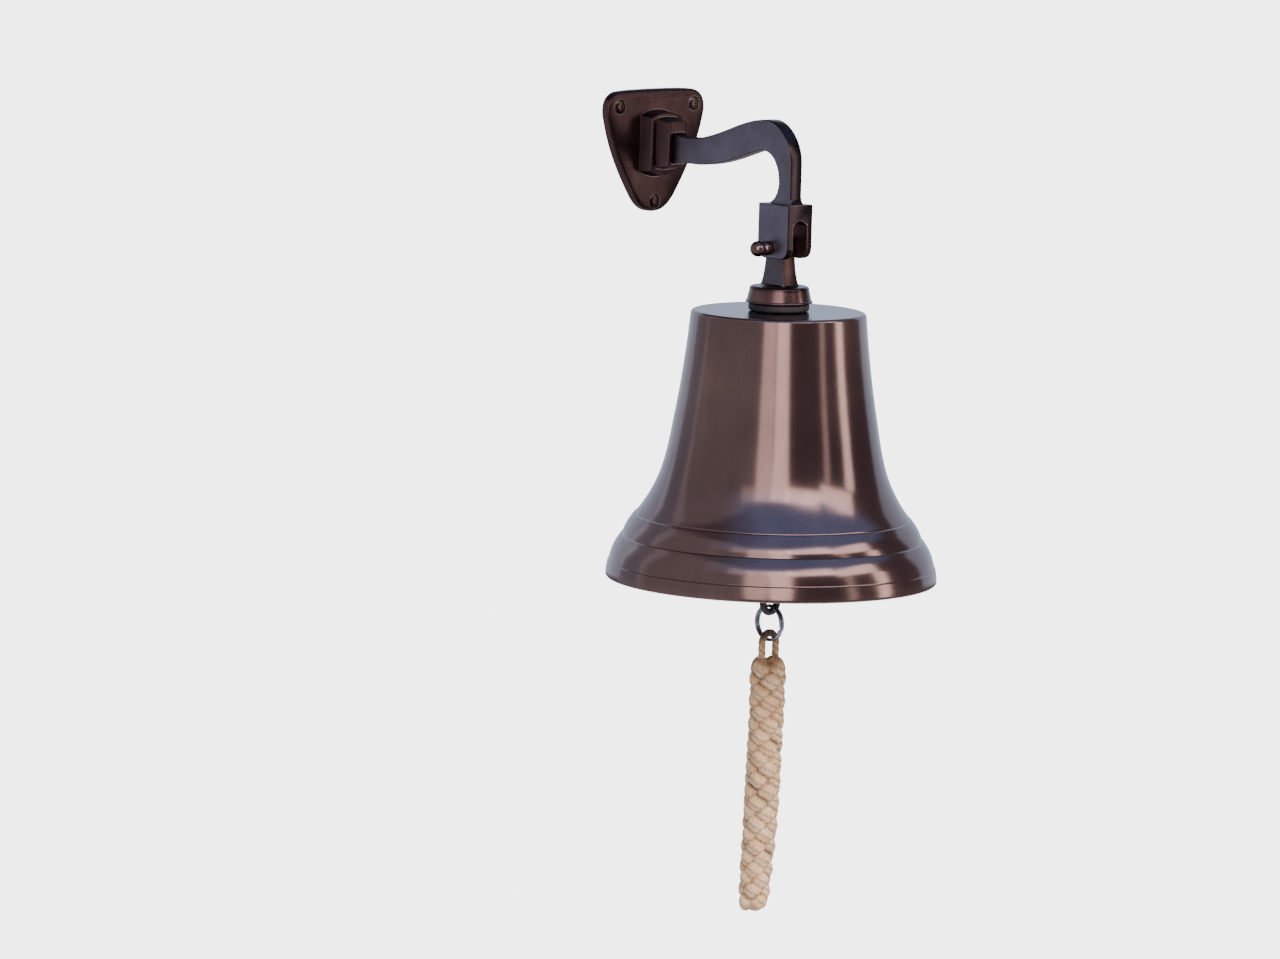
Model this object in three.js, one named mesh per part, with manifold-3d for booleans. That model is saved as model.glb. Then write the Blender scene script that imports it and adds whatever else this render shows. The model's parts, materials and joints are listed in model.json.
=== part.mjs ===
// A wall-hung ship's bell: plate, swan-neck arm, bell, clapper, split ring and rope lanyard.
// Millimetres, +Z up. The wall is the plane y = 0 and the bell hangs towards -Y.
// The origin is on the plate's back face, midway between the two upper screws.

import * as THREE from "three";
import { mergeVertices } from "three/addons/utils/BufferGeometryUtils.js";
import Module from "manifold-3d";

const wasm = await Module();
wasm.setup();

// ---- driving dimensions -------------------------------------------------------------------

const GAP = 0.3; // clearance between pieces that touch or screw together

// wall plate
const PLATE = { thick: 5, edge: 2, top: 8.9, halfWidth: 37.4, bottom: -58.6 };
const SCREW = { spread: 28, lowZ: -53, headR: 4.1, shankR: 2.1, length: 12.7, sink: 2.6 };
// Each step stands out from a base depth, and narrows by its draft towards its front.
const BOSS = [
  { base: 5, depth: 13.5, draft: 0.08, half: 12.4, top: -2, rise: 3, bottom: -39.4 },
  { base: 13.5, depth: 22.5, draft: 0.12, half: 8, top: -5.4, rise: 1, bottom: -34.8 },
];

// arm and clevis; s is the distance out from the wall
const ARM = { half: 4.5, ease: 0.8, rootZ: -22.3, rootHeight: 16.6, socket: 3.5 };
const FIXING = { headR: 6, sink: 3.4, shankR: 2.9, length: 30 };
const REACH = 104; // wall to bell axis
const CLEVIS = { near: 95.5, far: 118.4, half: 9.4, top: -45.6, bottom: -75, corner: 6, ease: 0.6 };
const SLOT = { half: 5.4, top: -57, rise: 3 };

// pivot
const PIVOT_Z = -69.5;
const PIVOT = { r: 3, barrelR: 3.9, barrel: 4.2, ballR: 4.3, ballX: 17.2 };

// bell and the stack that clamps it
const MOUTH_Z = -250;
const MOUTH_R = 90;
const CROWN_Z = -104;
const CROWN_THICK = 5.5;
const STUD_R = 4; // the eyebolt's thread, M8
const COLLAR = { lipR: 18.3, topR: 16.1, bottom: -99.2, top: -90.4 };
const TONGUE = { deep: 13, wide: 9.4, baseDeep: 17, baseWide: 11.5, headR: 6 };
const GASKET_R = 16.4;
const WASHER = { r: 12, thick: 2 };
const LOCK = { r: 7, thick: 2 };
const NUT = { flat: 13, height: 6.5 };

// clapper and what hangs from it: ring radius to the wire's centre, and the wire's own radius
const BOLT_EYE = { ring: 6.5, wire: 2.2 };
const LINK = { half: 5.5, long: 10, wire: 1.8 };
const TOP_EYE = { ring: 5.5, wire: 2 };
const ROD_R = 2.5;
const BALL = { r: 19, z: -235 };
const TAIL = { ring: 5.2, wire: 2, z: -263.4 };
const RING = { ring: 9.4, wire: 0.8, turns: 2, pitch: 1.75 };

// lanyard
const CORD_R = 2;
const EYE_HALF = 5.2;
const SINNET = { r: 9.3, endR: 7.4, top: -293.6, bottom: -434, lean: 3.3 };

// ---- heights worked out from the ones above -----------------------------------------------

const gasketBottom = CROWN_Z + GAP;
const gasketTop = COLLAR.bottom - GAP;
const washerTop = CROWN_Z - CROWN_THICK - GAP;
const lockTop = washerTop - WASHER.thick - GAP;
const nutTop = lockTop - LOCK.thick - GAP;
const boltEyeZ = nutTop - NUT.height - GAP - BOLT_EYE.ring - BOLT_EYE.wire;
const swingZ = boltEyeZ - BOLT_EYE.ring; // the link hangs on this wire
const linkTop = swingZ + BOLT_EYE.wire + LINK.wire + 0.15;
const linkZ = linkTop - LINK.long;
const swayZ = linkZ - LINK.long; // the clapper hangs on this wire
const topEyeZ = swayZ + LINK.wire + TOP_EYE.wire + 0.15 - TOP_EYE.ring;
const tailWireZ = TAIL.z - TAIL.ring; // the split ring hangs on this wire
const ringRest = 0.65; // two coils side by side rest on the curve of a loop, not on its lowest point
const eyeRest = 1.15; // the cord's slack loop also has room to turn round both coils
const ringZ = tailWireZ + TAIL.wire + RING.wire + ringRest - RING.ring;
const ringWireZ = ringZ - RING.ring; // the lanyard hangs on this wire
const eyeTopZ = ringWireZ + RING.wire + CORD_R + eyeRest;

// ---- materials -----------------------------------------------------------------------------

const metal = (color, roughness) => new THREE.MeshStandardMaterial({ color, roughness, metalness: 1 });
const matt = (color, roughness) => new THREE.MeshStandardMaterial({ color, roughness, metalness: 0 });

const ANTIQUE_COPPER = () => metal(0x5a3a38, 0.28);
const SATIN_BRACKET = () => metal(0x4c434b, 0.42);
const DARK_SCREW = () => metal(0x4a3632, 0.4);
const BLACK_IRON = () => metal(0x1d1c1f, 0.55);
const STEEL = () => metal(0x8d949e, 0.3);
const ZINC = () => metal(0x9c9c98, 0.4);
const RUBBER = () => matt(0x17161a, 0.7);
const COTTON = () => matt(0xd7b99b, 0.9);

// ---- helpers -------------------------------------------------------------------------------

// Six times the volume of an indexed mesh: positive when its faces point out.
function signedVolume(position, index) {
  const [a, b, c] = [new THREE.Vector3(), new THREE.Vector3(), new THREE.Vector3()];
  let sum = 0;
  for (let i = 0; i < index.count; i += 3) {
    a.fromBufferAttribute(position, index.getX(i));
    b.fromBufferAttribute(position, index.getX(i + 1));
    c.fromBufferAttribute(position, index.getX(i + 2));
    sum += a.dot(b.cross(c));
  }
  return sum;
}

// A geometry with shared vertices merged and its faces pointing out.
function closed(geometry) {
  geometry.deleteAttribute("normal");
  geometry.deleteAttribute("uv");
  const merged = mergeVertices(geometry, 1e-4);
  const { index } = merged;
  if (signedVolume(merged.getAttribute("position"), index) < 0) {
    for (let i = 0; i < index.count; i += 3) {
      const first = index.getX(i);
      index.setX(i, index.getX(i + 2));
      index.setX(i + 2, first);
    }
  }
  return merged;
}

function solid(geometry) {
  const mesh = closed(geometry);
  const vertProperties = new Float32Array(mesh.getAttribute("position").array);
  const triVerts = new Uint32Array(mesh.index.array);
  return new wasm.Manifold(new wasm.Mesh({ numProp: 3, vertProperties, triVerts }));
}

function geometryOf(body) {
  const mesh = body.getMesh();
  const geometry = new THREE.BufferGeometry();
  geometry.setAttribute("position", new THREE.BufferAttribute(mesh.vertProperties, 3));
  geometry.setIndex(new THREE.BufferAttribute(mesh.triVerts, 1));
  return geometry;
}

const join = (first, ...rest) => rest.reduce((body, piece) => body.add(piece), first);
const cut = (first, ...rest) => rest.reduce((body, piece) => body.subtract(piece), first);

// A body of revolution about Z from [radius, height] points that start and end on the axis
// or close on themselves.
function turned(points, sides = 24) {
  const profile = points.map(([r, z]) => new THREE.Vector2(r, z));
  return new THREE.LatheGeometry(profile, sides).rotateX(Math.PI / 2);
}

function disc(r, low, high, sides = 24) {
  return turned([[0, low], [r, low], [r, high], [0, high]], sides);
}

function washer(bore, r, low, high, sides = 24) {
  return turned([[bore, low], [r, low], [r, high], [bore, high], [bore, low]], sides);
}

// Lays a body turned about Z along -Y (its +Z end points out from the wall).
const outFromWall = (geometry) => geometry.rotateX(Math.PI / 2);
// Lays a body turned about Z along +X.
const acrossX = (geometry) => geometry.rotateY(Math.PI / 2);

// Extrudes a shape drawn as (x, z) out from the wall, starting at a depth.
function fromWall(shape, start, options) {
  const geometry = new THREE.ExtrudeGeometry(shape, options);
  return geometry.translate(0, 0, start).rotateX(Math.PI / 2);
}

// Extrudes a shape drawn as (distance from the wall, z) across X, centred on x = 0.
function acrossArm(shape, half, bevel, curveSegments) {
  const options = {
    depth: 2 * (half - bevel),
    bevelEnabled: bevel > 0,
    bevelSize: bevel,
    bevelOffset: -bevel,
    bevelThickness: bevel,
    bevelSegments: 1,
    curveSegments,
  };
  const geometry = new THREE.ExtrudeGeometry(shape, options).translate(0, 0, -(half - bevel));
  const turn = new THREE.Matrix4().makeBasis(
    new THREE.Vector3(0, -1, 0),
    new THREE.Vector3(0, 0, 1),
    new THREE.Vector3(-1, 0, 0),
  );
  return geometry.applyMatrix4(turn);
}

// A closed loop of round wire in an upright plane: "x" for the XZ plane, "y" for the YZ plane.
// It is two half circles, moved apart by straight sides where it is higher than it is wide.
function loop(plane, halfWidth, halfHeight, wire, steps = 20, sides = 8) {
  const vertices = [];
  const faces = [];
  for (let i = 0; i < steps; i++) {
    const a = (i / steps) * 2 * Math.PI;
    const [cos, sin] = [Math.cos(a), Math.sin(a)];
    const apart = i % (steps / 2) === 0 ? 0 : Math.sign(sin) * (halfHeight - halfWidth);
    for (let j = 0; j < sides; j++) {
      const b = (j / sides) * 2 * Math.PI;
      const across = cos * (halfWidth + wire * Math.cos(b));
      const up = sin * (halfWidth + wire * Math.cos(b)) + apart;
      const off = wire * Math.sin(b);
      vertices.push(...(plane === "x" ? [across, off, up] : [off, across, up]));
      const [p, q] = [i * sides + j, i * sides + ((j + 1) % sides)];
      const next = ((i + 1) % steps) * sides;
      const [r, t] = [next + j, next + ((j + 1) % sides)];
      faces.push(p, q, r, q, t, r);
    }
  }
  const geometry = new THREE.BufferGeometry();
  geometry.setAttribute("position", new THREE.Float32BufferAttribute(vertices, 3));
  return geometry.setIndex(faces);
}

const group = new THREE.Group();

function add(name, geometry, material, place = [0, 0, 0]) {
  const shape = closed(geometry);
  shape.computeVertexNormals();
  const mesh = new THREE.Mesh(shape, material);
  mesh.name = name;
  mesh.position.set(...place);
  group.add(mesh);
}

const ON_AXIS = [0, -REACH, 0];

// ---- wall plate ----------------------------------------------------------------------------

// A rounded triangle, point down, drawn as (x, z).
function plateOutline(inset) {
  const half = PLATE.halfWidth - inset;
  const top = PLATE.top - inset;
  const bottom = PLATE.bottom + inset;
  const shape = new THREE.Shape();
  shape.moveTo(0, top);
  shape.bezierCurveTo(half * 0.4, top, half * 0.7, top - 0.3, half * 0.78, top - 1);
  shape.bezierCurveTo(half * 0.95, top - 2.6, half * 1.02, top - 8, half * 0.97, top - 15);
  shape.bezierCurveTo(half * 0.86, top - 33, half * 0.62, top - 47, half * 0.46, bottom + 11.5);
  shape.bezierCurveTo(half * 0.32, bottom + 3, half * 0.18, bottom, 0, bottom);
  shape.bezierCurveTo(-half * 0.18, bottom, -half * 0.32, bottom + 3, -half * 0.46, bottom + 11.5);
  shape.bezierCurveTo(-half * 0.62, top - 47, -half * 0.86, top - 33, -half * 0.97, top - 15);
  shape.bezierCurveTo(-half * 1.02, top - 8, -half * 0.95, top - 2.6, -half * 0.78, top - 1);
  shape.bezierCurveTo(-half * 0.7, top - 0.3, -half * 0.4, top, 0, top);
  return shape;
}

// An upright block with an arched top and foot, drawn as (x, z).
function bossOutline({ half, top, rise, bottom }) {
  const shape = new THREE.Shape();
  shape.moveTo(-half, bottom + rise);
  shape.quadraticCurveTo(0, bottom - rise, half, bottom + rise);
  shape.lineTo(half, top - rise);
  shape.quadraticCurveTo(0, top + rise, -half, top - rise);
  return shape;
}

// A countersunk hole through the plate, its mouth on the plate's front face.
function screwHole(x, z) {
  const bore = SCREW.shankR + GAP;
  const mouth = SCREW.headR + GAP;
  const profile = [[0, -1], [bore, -1], [bore, PLATE.thick - SCREW.sink], [mouth, PLATE.thick + 0.2]];
  const tool = turned([...profile, [mouth, 12], [0, 12]], 20);
  return solid(outFromWall(tool).translate(x, 0, z));
}

// The fixing screw's hole, its countersunk mouth on the plate's back face.
function fixingHole() {
  const bore = FIXING.shankR + GAP;
  const mouth = FIXING.headR + GAP;
  const profile = [[0, -1], [mouth, -1], [mouth, 0.6], [bore, FIXING.sink + 0.6], [bore, 30], [0, 30]];
  return solid(outFromWall(turned(profile, 20)).translate(0, 0, ARM.rootZ));
}

function boxBetween(low, high) {
  const size = high.map((value, i) => value - low[i]);
  const middle = high.map((value, i) => (value + low[i]) / 2);
  return solid(new THREE.BoxGeometry(...size).translate(...middle));
}

// A step of the boss: it starts inside what it stands on.
function bossStep(step) {
  const start = step.base - 2;
  const options = { depth: step.depth - start, bevelEnabled: false, curveSegments: 7 };
  const block = fromWall(bossOutline(step), start, options);
  const middle = (step.top + step.bottom) / 2;
  const position = block.getAttribute("position");
  for (let i = 0; i < position.count; i++) {
    const out = (-position.getY(i) - step.base) / (step.depth - step.base);
    const scale = 1 - step.draft * out;
    position.setX(i, position.getX(i) * scale);
    position.setZ(i, middle + (position.getZ(i) - middle) * scale);
  }
  return solid(block);
}

const bossDepth = BOSS[1].depth;
const SCREW_PLACES = {
  left: [-SCREW.spread, 0],
  right: [SCREW.spread, 0],
  bottom: [0, SCREW.lowZ],
};

function wallPlate() {
  const bevel = { bevelEnabled: true, bevelSize: PLATE.edge, bevelThickness: PLATE.edge, bevelSegments: 2 };
  const options = { ...bevel, depth: PLATE.thick, curveSegments: 5 };
  const slab = solid(fromWall(plateOutline(PLATE.edge), -PLATE.edge, options));
  const steps = BOSS.map(bossStep);
  const behind = boxBetween([-60, 0, -80], [60, 20, 30]);
  const halfPocket = ARM.half + GAP;
  const pocketLow = [-halfPocket, -bossDepth - 1, ARM.rootZ - ARM.rootHeight / 2 - GAP];
  const pocketHigh = [halfPocket, -bossDepth + ARM.socket, ARM.rootZ + ARM.rootHeight / 2 + GAP];
  const holes = Object.values(SCREW_PLACES).map(([x, z]) => screwHole(x, z));
  const pocket = boxBetween(pocketLow, pocketHigh);
  return geometryOf(cut(join(slab, ...steps), behind, pocket, ...holes, fixingHole()));
}

// A bar along the slot of a cross-head screw.
function crossHead(width, low, high, reach) {
  const bar = () => new THREE.BoxGeometry(2 * reach, width, high - low).translate(0, 0, (low + high) / 2);
  return join(solid(bar()), solid(bar().rotateZ(Math.PI / 2)));
}

// A countersunk wood screw turned about Z: its head looks up, its point is in the wall.
function wallScrew() {
  const face = PLATE.thick;
  const point = face - SCREW.length;
  const head = [[SCREW.shankR, face - SCREW.sink], [SCREW.headR, face], [SCREW.headR * 0.6, face + 0.7]];
  const body = turned([[0, point], [SCREW.shankR, point + 3], ...head, [0, face + 0.9]], 16);
  const screw = cut(solid(body), crossHead(0.9, face - 0.9, face + 2, 2.5));
  return outFromWall(geometryOf(screw));
}

function fixingScrew() {
  const head = [[0, 0.3], [FIXING.headR, 0.3], [FIXING.headR, 0.7]];
  const shank = [[FIXING.shankR, FIXING.sink + 0.7], [FIXING.shankR, FIXING.length], [0, FIXING.length]];
  const screw = cut(solid(turned([...head, ...shank], 16)), crossHead(1.1, -1, 1.8, 3.4));
  return outFromWall(geometryOf(screw));
}

// ---- arm with its clevis -------------------------------------------------------------------

// The swan-neck bar, drawn as (distance from the wall, z), down to inside the clevis block.
function armOutline() {
  const rootTop = ARM.rootZ + ARM.rootHeight / 2;
  const rootBottom = ARM.rootZ - ARM.rootHeight / 2;
  const start = bossDepth - ARM.socket + GAP;
  const shape = new THREE.Shape();
  shape.moveTo(start, rootTop);
  shape.lineTo(bossDepth + 1, rootTop);
  shape.quadraticCurveTo(bossDepth + 4, -15.2, 31, -15.4);
  shape.bezierCurveTo(54, -17, 74, -1.2, 95, -1.2);
  shape.bezierCurveTo(104, -1.2, 114.4, -11.5, 114.4, -24);
  shape.lineTo(114.4, -41);
  shape.quadraticCurveTo(114.6, -44.8, 117.1, CLEVIS.top - 0.2);
  shape.lineTo(117.1, CLEVIS.top - 3);
  shape.lineTo(97, CLEVIS.top - 3);
  shape.lineTo(97, CLEVIS.top - 0.2);
  shape.quadraticCurveTo(104, -43.8, 105.1, -35);
  shape.bezierCurveTo(105.1, -25, 99.5, -18, 92.3, -18);
  shape.bezierCurveTo(84, -18, 62, -30.6, 38, -29.7);
  shape.quadraticCurveTo(30, -29.8, bossDepth + 1, rootBottom);
  shape.lineTo(start, rootBottom);
  return shape;
}

// The clevis block from the side, its two lower corners rounded.
function clevisOutline() {
  const { near, far, top, bottom, corner } = CLEVIS;
  const shape = new THREE.Shape();
  shape.moveTo(near, top);
  shape.lineTo(near, bottom + corner);
  shape.quadraticCurveTo(near + 0.3, bottom, near + corner, bottom);
  shape.lineTo(far - corner, bottom);
  shape.quadraticCurveTo(far - 0.3, bottom, far, bottom + corner);
  shape.lineTo(far, top);
  return shape;
}

// The slot between the ears, seen from the front as (x, z).
function slotOutline() {
  const shape = new THREE.Shape();
  shape.moveTo(-SLOT.half, CLEVIS.bottom - 5);
  shape.lineTo(SLOT.half, CLEVIS.bottom - 5);
  shape.lineTo(SLOT.half, SLOT.top);
  shape.quadraticCurveTo(0, SLOT.top + 2 * SLOT.rise, -SLOT.half, SLOT.top);
  return shape;
}

const atPivot = (geometry) => geometry.translate(0, -REACH, PIVOT_Z);

function bracketArm() {
  const bar = solid(acrossArm(armOutline(), ARM.half, ARM.ease, 9));
  const block = solid(acrossArm(clevisOutline(), CLEVIS.half, CLEVIS.ease, 4));
  const slot = solid(fromWall(slotOutline(), 90, { depth: 40, bevelEnabled: false, curveSegments: 8 }));
  const pinHole = solid(atPivot(acrossX(disc(PIVOT.r + GAP, -20, 20, 20))));
  const thread = outFromWall(disc(FIXING.shankR + GAP, 0, FIXING.length + 1, 20));
  const screwBore = solid(thread.translate(0, 0, ARM.rootZ));
  return geometryOf(cut(join(bar, block), slot, pinHole, screwBore));
}

// ---- pivot ---------------------------------------------------------------------------------

// Half of a ball's outline from the barrel round to the axis, as [radius, height] points.
function ballEnd(centre, r, neck, steps = 7) {
  const first = Math.asin(neck / r);
  return Array.from({ length: steps + 1 }, (_, i) => {
    const a = Math.PI - first - ((Math.PI - first) * i) / steps;
    return [i === steps ? 0 : r * Math.sin(a), centre + r * Math.cos(a)];
  });
}

const earFace = CLEVIS.half + GAP;
const barrelEnd = earFace + PIVOT.barrel;

function pivotBolt() {
  const ball = ballEnd(PIVOT.ballX, PIVOT.ballR, 2.6);
  const barrel = [[PIVOT.r, earFace], [PIVOT.barrelR, earFace], [PIVOT.barrelR, barrelEnd - 0.6]];
  const bolt = turned([[0, -PIVOT.ballX + 1], [PIVOT.r, -PIVOT.ballX + 1], ...barrel, ...ball], 20);
  return acrossX(bolt).rotateZ(Math.PI);
}

function ballNut() {
  const ball = ballEnd(PIVOT.ballX, PIVOT.ballR, 2.6);
  const bore = PIVOT.r + GAP;
  const barrel = [[bore, earFace], [PIVOT.barrelR, earFace], [PIVOT.barrelR, barrelEnd - 0.6]];
  const floor = PIVOT.ballX - 1 + GAP;
  return acrossX(turned([[0, floor], [bore, floor], ...barrel, ...ball], 20));
}

// ---- bell ----------------------------------------------------------------------------------

// The tongue that hangs on the pivot, from the side, as (distance from the wall, z).
function tongueSide() {
  const shape = new THREE.Shape();
  const base = COLLAR.top - 1.5;
  shape.moveTo(REACH - TONGUE.baseDeep / 2, base);
  shape.quadraticCurveTo(REACH - TONGUE.deep / 2 - 0.6, PIVOT_Z - 14, REACH - TONGUE.deep / 2, PIVOT_Z - 6);
  shape.quadraticCurveTo(REACH - TONGUE.headR - 0.2, PIVOT_Z - 2, REACH - TONGUE.headR, PIVOT_Z);
  shape.absarc(REACH, PIVOT_Z, TONGUE.headR, Math.PI, 0, true);
  shape.quadraticCurveTo(REACH + TONGUE.headR + 0.2, PIVOT_Z - 2, REACH + TONGUE.deep / 2, PIVOT_Z - 6);
  shape.quadraticCurveTo(REACH + TONGUE.deep / 2 + 0.6, PIVOT_Z - 14, REACH + TONGUE.baseDeep / 2, base);
  return shape;
}

// The same tongue from the front, as (x, z): narrow between the ears, spreading to the collar.
function tongueFront() {
  const { wide, baseWide } = TONGUE;
  const base = COLLAR.top - 1.5;
  const shape = new THREE.Shape();
  shape.moveTo(-baseWide / 2, base);
  shape.quadraticCurveTo(-wide / 2, PIVOT_Z - 16, -wide / 2, CLEVIS.bottom);
  shape.lineTo(-wide / 2, PIVOT_Z + 10);
  shape.lineTo(wide / 2, PIVOT_Z + 10);
  shape.lineTo(wide / 2, CLEVIS.bottom);
  shape.quadraticCurveTo(wide / 2, PIVOT_Z - 16, baseWide / 2, base);
  return shape;
}

function bellHanger() {
  const { lipR, topR, bottom, top } = COLLAR;
  const cone = [[0, bottom], [lipR, bottom], [lipR, bottom + 0.9], [lipR - 0.8, bottom + 1.4]];
  const crest = [[topR, top - 1.2], [topR - 1.2, top], [9, top + 0.9], [0, top + 0.9]];
  const collar = solid(turned([...cone, ...crest], 32).translate(...ON_AXIS));
  const side = solid(acrossArm(tongueSide(), TONGUE.baseWide, 0, 8));
  const front = solid(fromWall(tongueFront(), 80, { depth: 50, bevelEnabled: false, curveSegments: 5 }));
  const eye = solid(atPivot(acrossX(disc(PIVOT.r + GAP, -20, 20, 20))));
  const thread = solid(disc(STUD_R + GAP, bottom - 2, -86, 20).translate(...ON_AXIS));
  return geometryOf(cut(join(side.intersect(front), collar), eye, thread));
}

// The bell's outside from the mouth up to the crown: three turned steps near the mouth.
const BELL_OUTSIDE = [
  [89.4, MOUTH_Z],
  [MOUTH_R, MOUTH_Z + 0.8],
  [89.8, MOUTH_Z + 4.4],
  [89.0, MOUTH_Z + 8.4],
  [88.1, MOUTH_Z + 8.8], // rim line
  [87.6, MOUTH_Z + 12.2],
  [86.1, MOUTH_Z + 16.4],
  [83.9, MOUTH_Z + 20.4],
  [82.3, MOUTH_Z + 22.6],
  [81.4, MOUTH_Z + 22.9], // middle step
  [80.3, MOUTH_Z + 26.4],
  [77.9, MOUTH_Z + 30.6],
  [75.3, MOUTH_Z + 34.2],
  [74.4, MOUTH_Z + 34.5], // upper step
  [71.2, MOUTH_Z + 39],
  [67.4, MOUTH_Z + 45.2],
  [63.4, MOUTH_Z + 53.2],
  [60.3, MOUTH_Z + 62],
  [57.6, MOUTH_Z + 73],
  [55.3, MOUTH_Z + 86],
  [53.0, MOUTH_Z + 100],
  [50.6, MOUTH_Z + 117],
  [48.6, MOUTH_Z + 133],
  [47.6, CROWN_Z - 1.6],
  [46.6, CROWN_Z - 0.4],
  [45.4, CROWN_Z],
];

// The inside from the crown down to the mouth, thick at the sound bow.
const BELL_INSIDE = [
  [STUD_R + 2 * GAP, CROWN_Z],
  [STUD_R + 2 * GAP, CROWN_Z - CROWN_THICK],
  [36, CROWN_Z - CROWN_THICK],
  [42.5, CROWN_Z - CROWN_THICK - 3],
  [44.8, CROWN_Z - CROWN_THICK - 10],
  [49.4, MOUTH_Z + 100],
  [53.6, MOUTH_Z + 73],
  [58.6, MOUTH_Z + 53],
  [66.6, MOUTH_Z + 37],
  [75, MOUTH_Z + 24],
  [80.6, MOUTH_Z + 12],
  [84, MOUTH_Z + 3],
  [86.2, MOUTH_Z],
];

function bellBody() {
  return turned([...BELL_OUTSIDE, ...BELL_INSIDE, BELL_OUTSIDE[0]], 40);
}

function clampNut() {
  const across = NUT.flat / Math.sqrt(3);
  const low = nutTop - NUT.height;
  const blank = solid(new THREE.CylinderGeometry(across, across, NUT.height, 6).rotateX(Math.PI / 2));
  const body = blank.translate([0, 0, low + NUT.height / 2]);
  return geometryOf(body.subtract(solid(disc(STUD_R + GAP, low - 1, nutTop + 1, 20))));
}

// A spring washer: a flat ring sawn through at one place.
function lockWasher() {
  const low = lockTop - LOCK.thick;
  const ring = solid(washer(STUD_R + GAP, LOCK.r, low, lockTop, 24));
  return geometryOf(ring.subtract(boxBetween([2, -0.5, low - 1], [9, 0.5, lockTop + 1])));
}

function eyebolt() {
  const eye = loop("y", BOLT_EYE.ring, BOLT_EYE.ring, BOLT_EYE.wire).translate(0, 0, boltEyeZ);
  const shank = disc(STUD_R, boltEyeZ + BOLT_EYE.ring - 0.8, -87, 20);
  return geometryOf(join(solid(shank), solid(eye)));
}

// ---- clapper, split ring and lanyard -------------------------------------------------------

function clapperRod() {
  const topEye = loop("y", TOP_EYE.ring, TOP_EYE.ring, TOP_EYE.wire).translate(0, 0, topEyeZ);
  const tailEye = loop("x", TAIL.ring, TAIL.ring, TAIL.wire).translate(0, 0, TAIL.z);
  const rod = disc(ROD_R, TAIL.z + TAIL.ring - 0.6, topEyeZ - TOP_EYE.ring + 0.6, 12);
  return geometryOf(join(solid(rod), solid(topEye), solid(tailEye)));
}

function clapperBall() {
  const ball = new THREE.SphereGeometry(BALL.r, 20, 12).rotateX(Math.PI / 2).translate(0, 0, BALL.z);
  const bore = disc(ROD_R + GAP, BALL.z - BALL.r - 2, BALL.z + BALL.r + 2, 12);
  return geometryOf(solid(ball).subtract(solid(bore)));
}

// A split ring as one flat-sided ring of the two coils' width.
function splitRing() {
  const inner = RING.ring - RING.wire;
  const outer = RING.ring + RING.wire;
  const half = (RING.pitch * (RING.turns - 1)) / 2 + RING.wire;
  return acrossX(washer(inner, outer, -half, half, 32)).translate(0, 0, ringZ);
}

// The cord loop: up from the sinnet, over the split ring's lowest wire and down again.
function lanyardEye() {
  const bend = new THREE.CurvePath();
  const foot = SINNET.top + GAP;
  const shoulder = eyeTopZ - EYE_HALF;
  const arc = [];
  for (let i = 1; i < 8; i++) {
    const a = Math.PI - (i / 8) * Math.PI;
    arc.push(new THREE.Vector3(EYE_HALF * Math.cos(a), 0, shoulder + EYE_HALF * Math.sin(a)));
  }
  const points = [
    new THREE.Vector3(-EYE_HALF, 0, foot),
    new THREE.Vector3(-EYE_HALF, 0, shoulder),
    ...arc,
    new THREE.Vector3(EYE_HALF, 0, shoulder),
    new THREE.Vector3(EYE_HALF, 0, foot),
  ];
  for (let i = 1; i < points.length; i++) bend.add(new THREE.LineCurve3(points[i - 1], points[i]));
  const section = new THREE.Shape().absarc(0, 0, CORD_R, 0, 2 * Math.PI);
  const options = { steps: 16, curveSegments: 4, extrudePath: bend, bevelEnabled: false };
  return new THREE.ExtrudeGeometry(section, options);
}

// The plaited part: a round bar that thins near its end and leans a little back to the wall.
function sinnet() {
  const sides = 12;
  const rings = 7;
  const vertices = [];
  const faces = [];
  for (let i = 0; i <= rings; i++) {
    const t = i / rings;
    const z = SINNET.top + (SINNET.bottom - SINNET.top) * t;
    const lean = SINNET.lean * t * t;
    const r = i === rings ? SINNET.endR - 1.5 : THREE.MathUtils.lerp(SINNET.r, SINNET.endR + 1, t ** 4);
    for (let j = 0; j < sides; j++) {
      const a = (j / sides) * 2 * Math.PI;
      vertices.push(-lean + r * Math.cos(a), lean + r * Math.sin(a), z);
    }
  }
  for (let i = 0; i < rings; i++) {
    for (let j = 0; j < sides; j++) {
      const [p, q] = [i * sides + j, i * sides + ((j + 1) % sides)];
      faces.push(p, p + sides, q, q, p + sides, q + sides);
    }
  }
  for (let j = 1; j < sides - 1; j++) {
    faces.push(0, j, j + 1);
    const last = rings * sides;
    faces.push(last, last + j + 1, last + j);
  }
  const geometry = new THREE.BufferGeometry();
  geometry.setAttribute("position", new THREE.Float32BufferAttribute(vertices, 3));
  return geometry.setIndex(faces);
}

// ---- assembly ------------------------------------------------------------------------------

add("wall_plate", wallPlate(), ANTIQUE_COPPER());
for (const [side, [x, z]] of Object.entries(SCREW_PLACES)) {
  add(`wall_screw_${side}`, wallScrew(), DARK_SCREW(), [x, 0, z]);
}
add("arm_fixing_screw", fixingScrew(), ZINC(), [0, 0, ARM.rootZ]);
add("bracket_arm", bracketArm(), SATIN_BRACKET());
add("pivot_bolt", pivotBolt(), ANTIQUE_COPPER(), [0, -REACH, PIVOT_Z]);
add("pivot_ball_nut", ballNut(), ANTIQUE_COPPER(), [0, -REACH, PIVOT_Z]);

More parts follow.
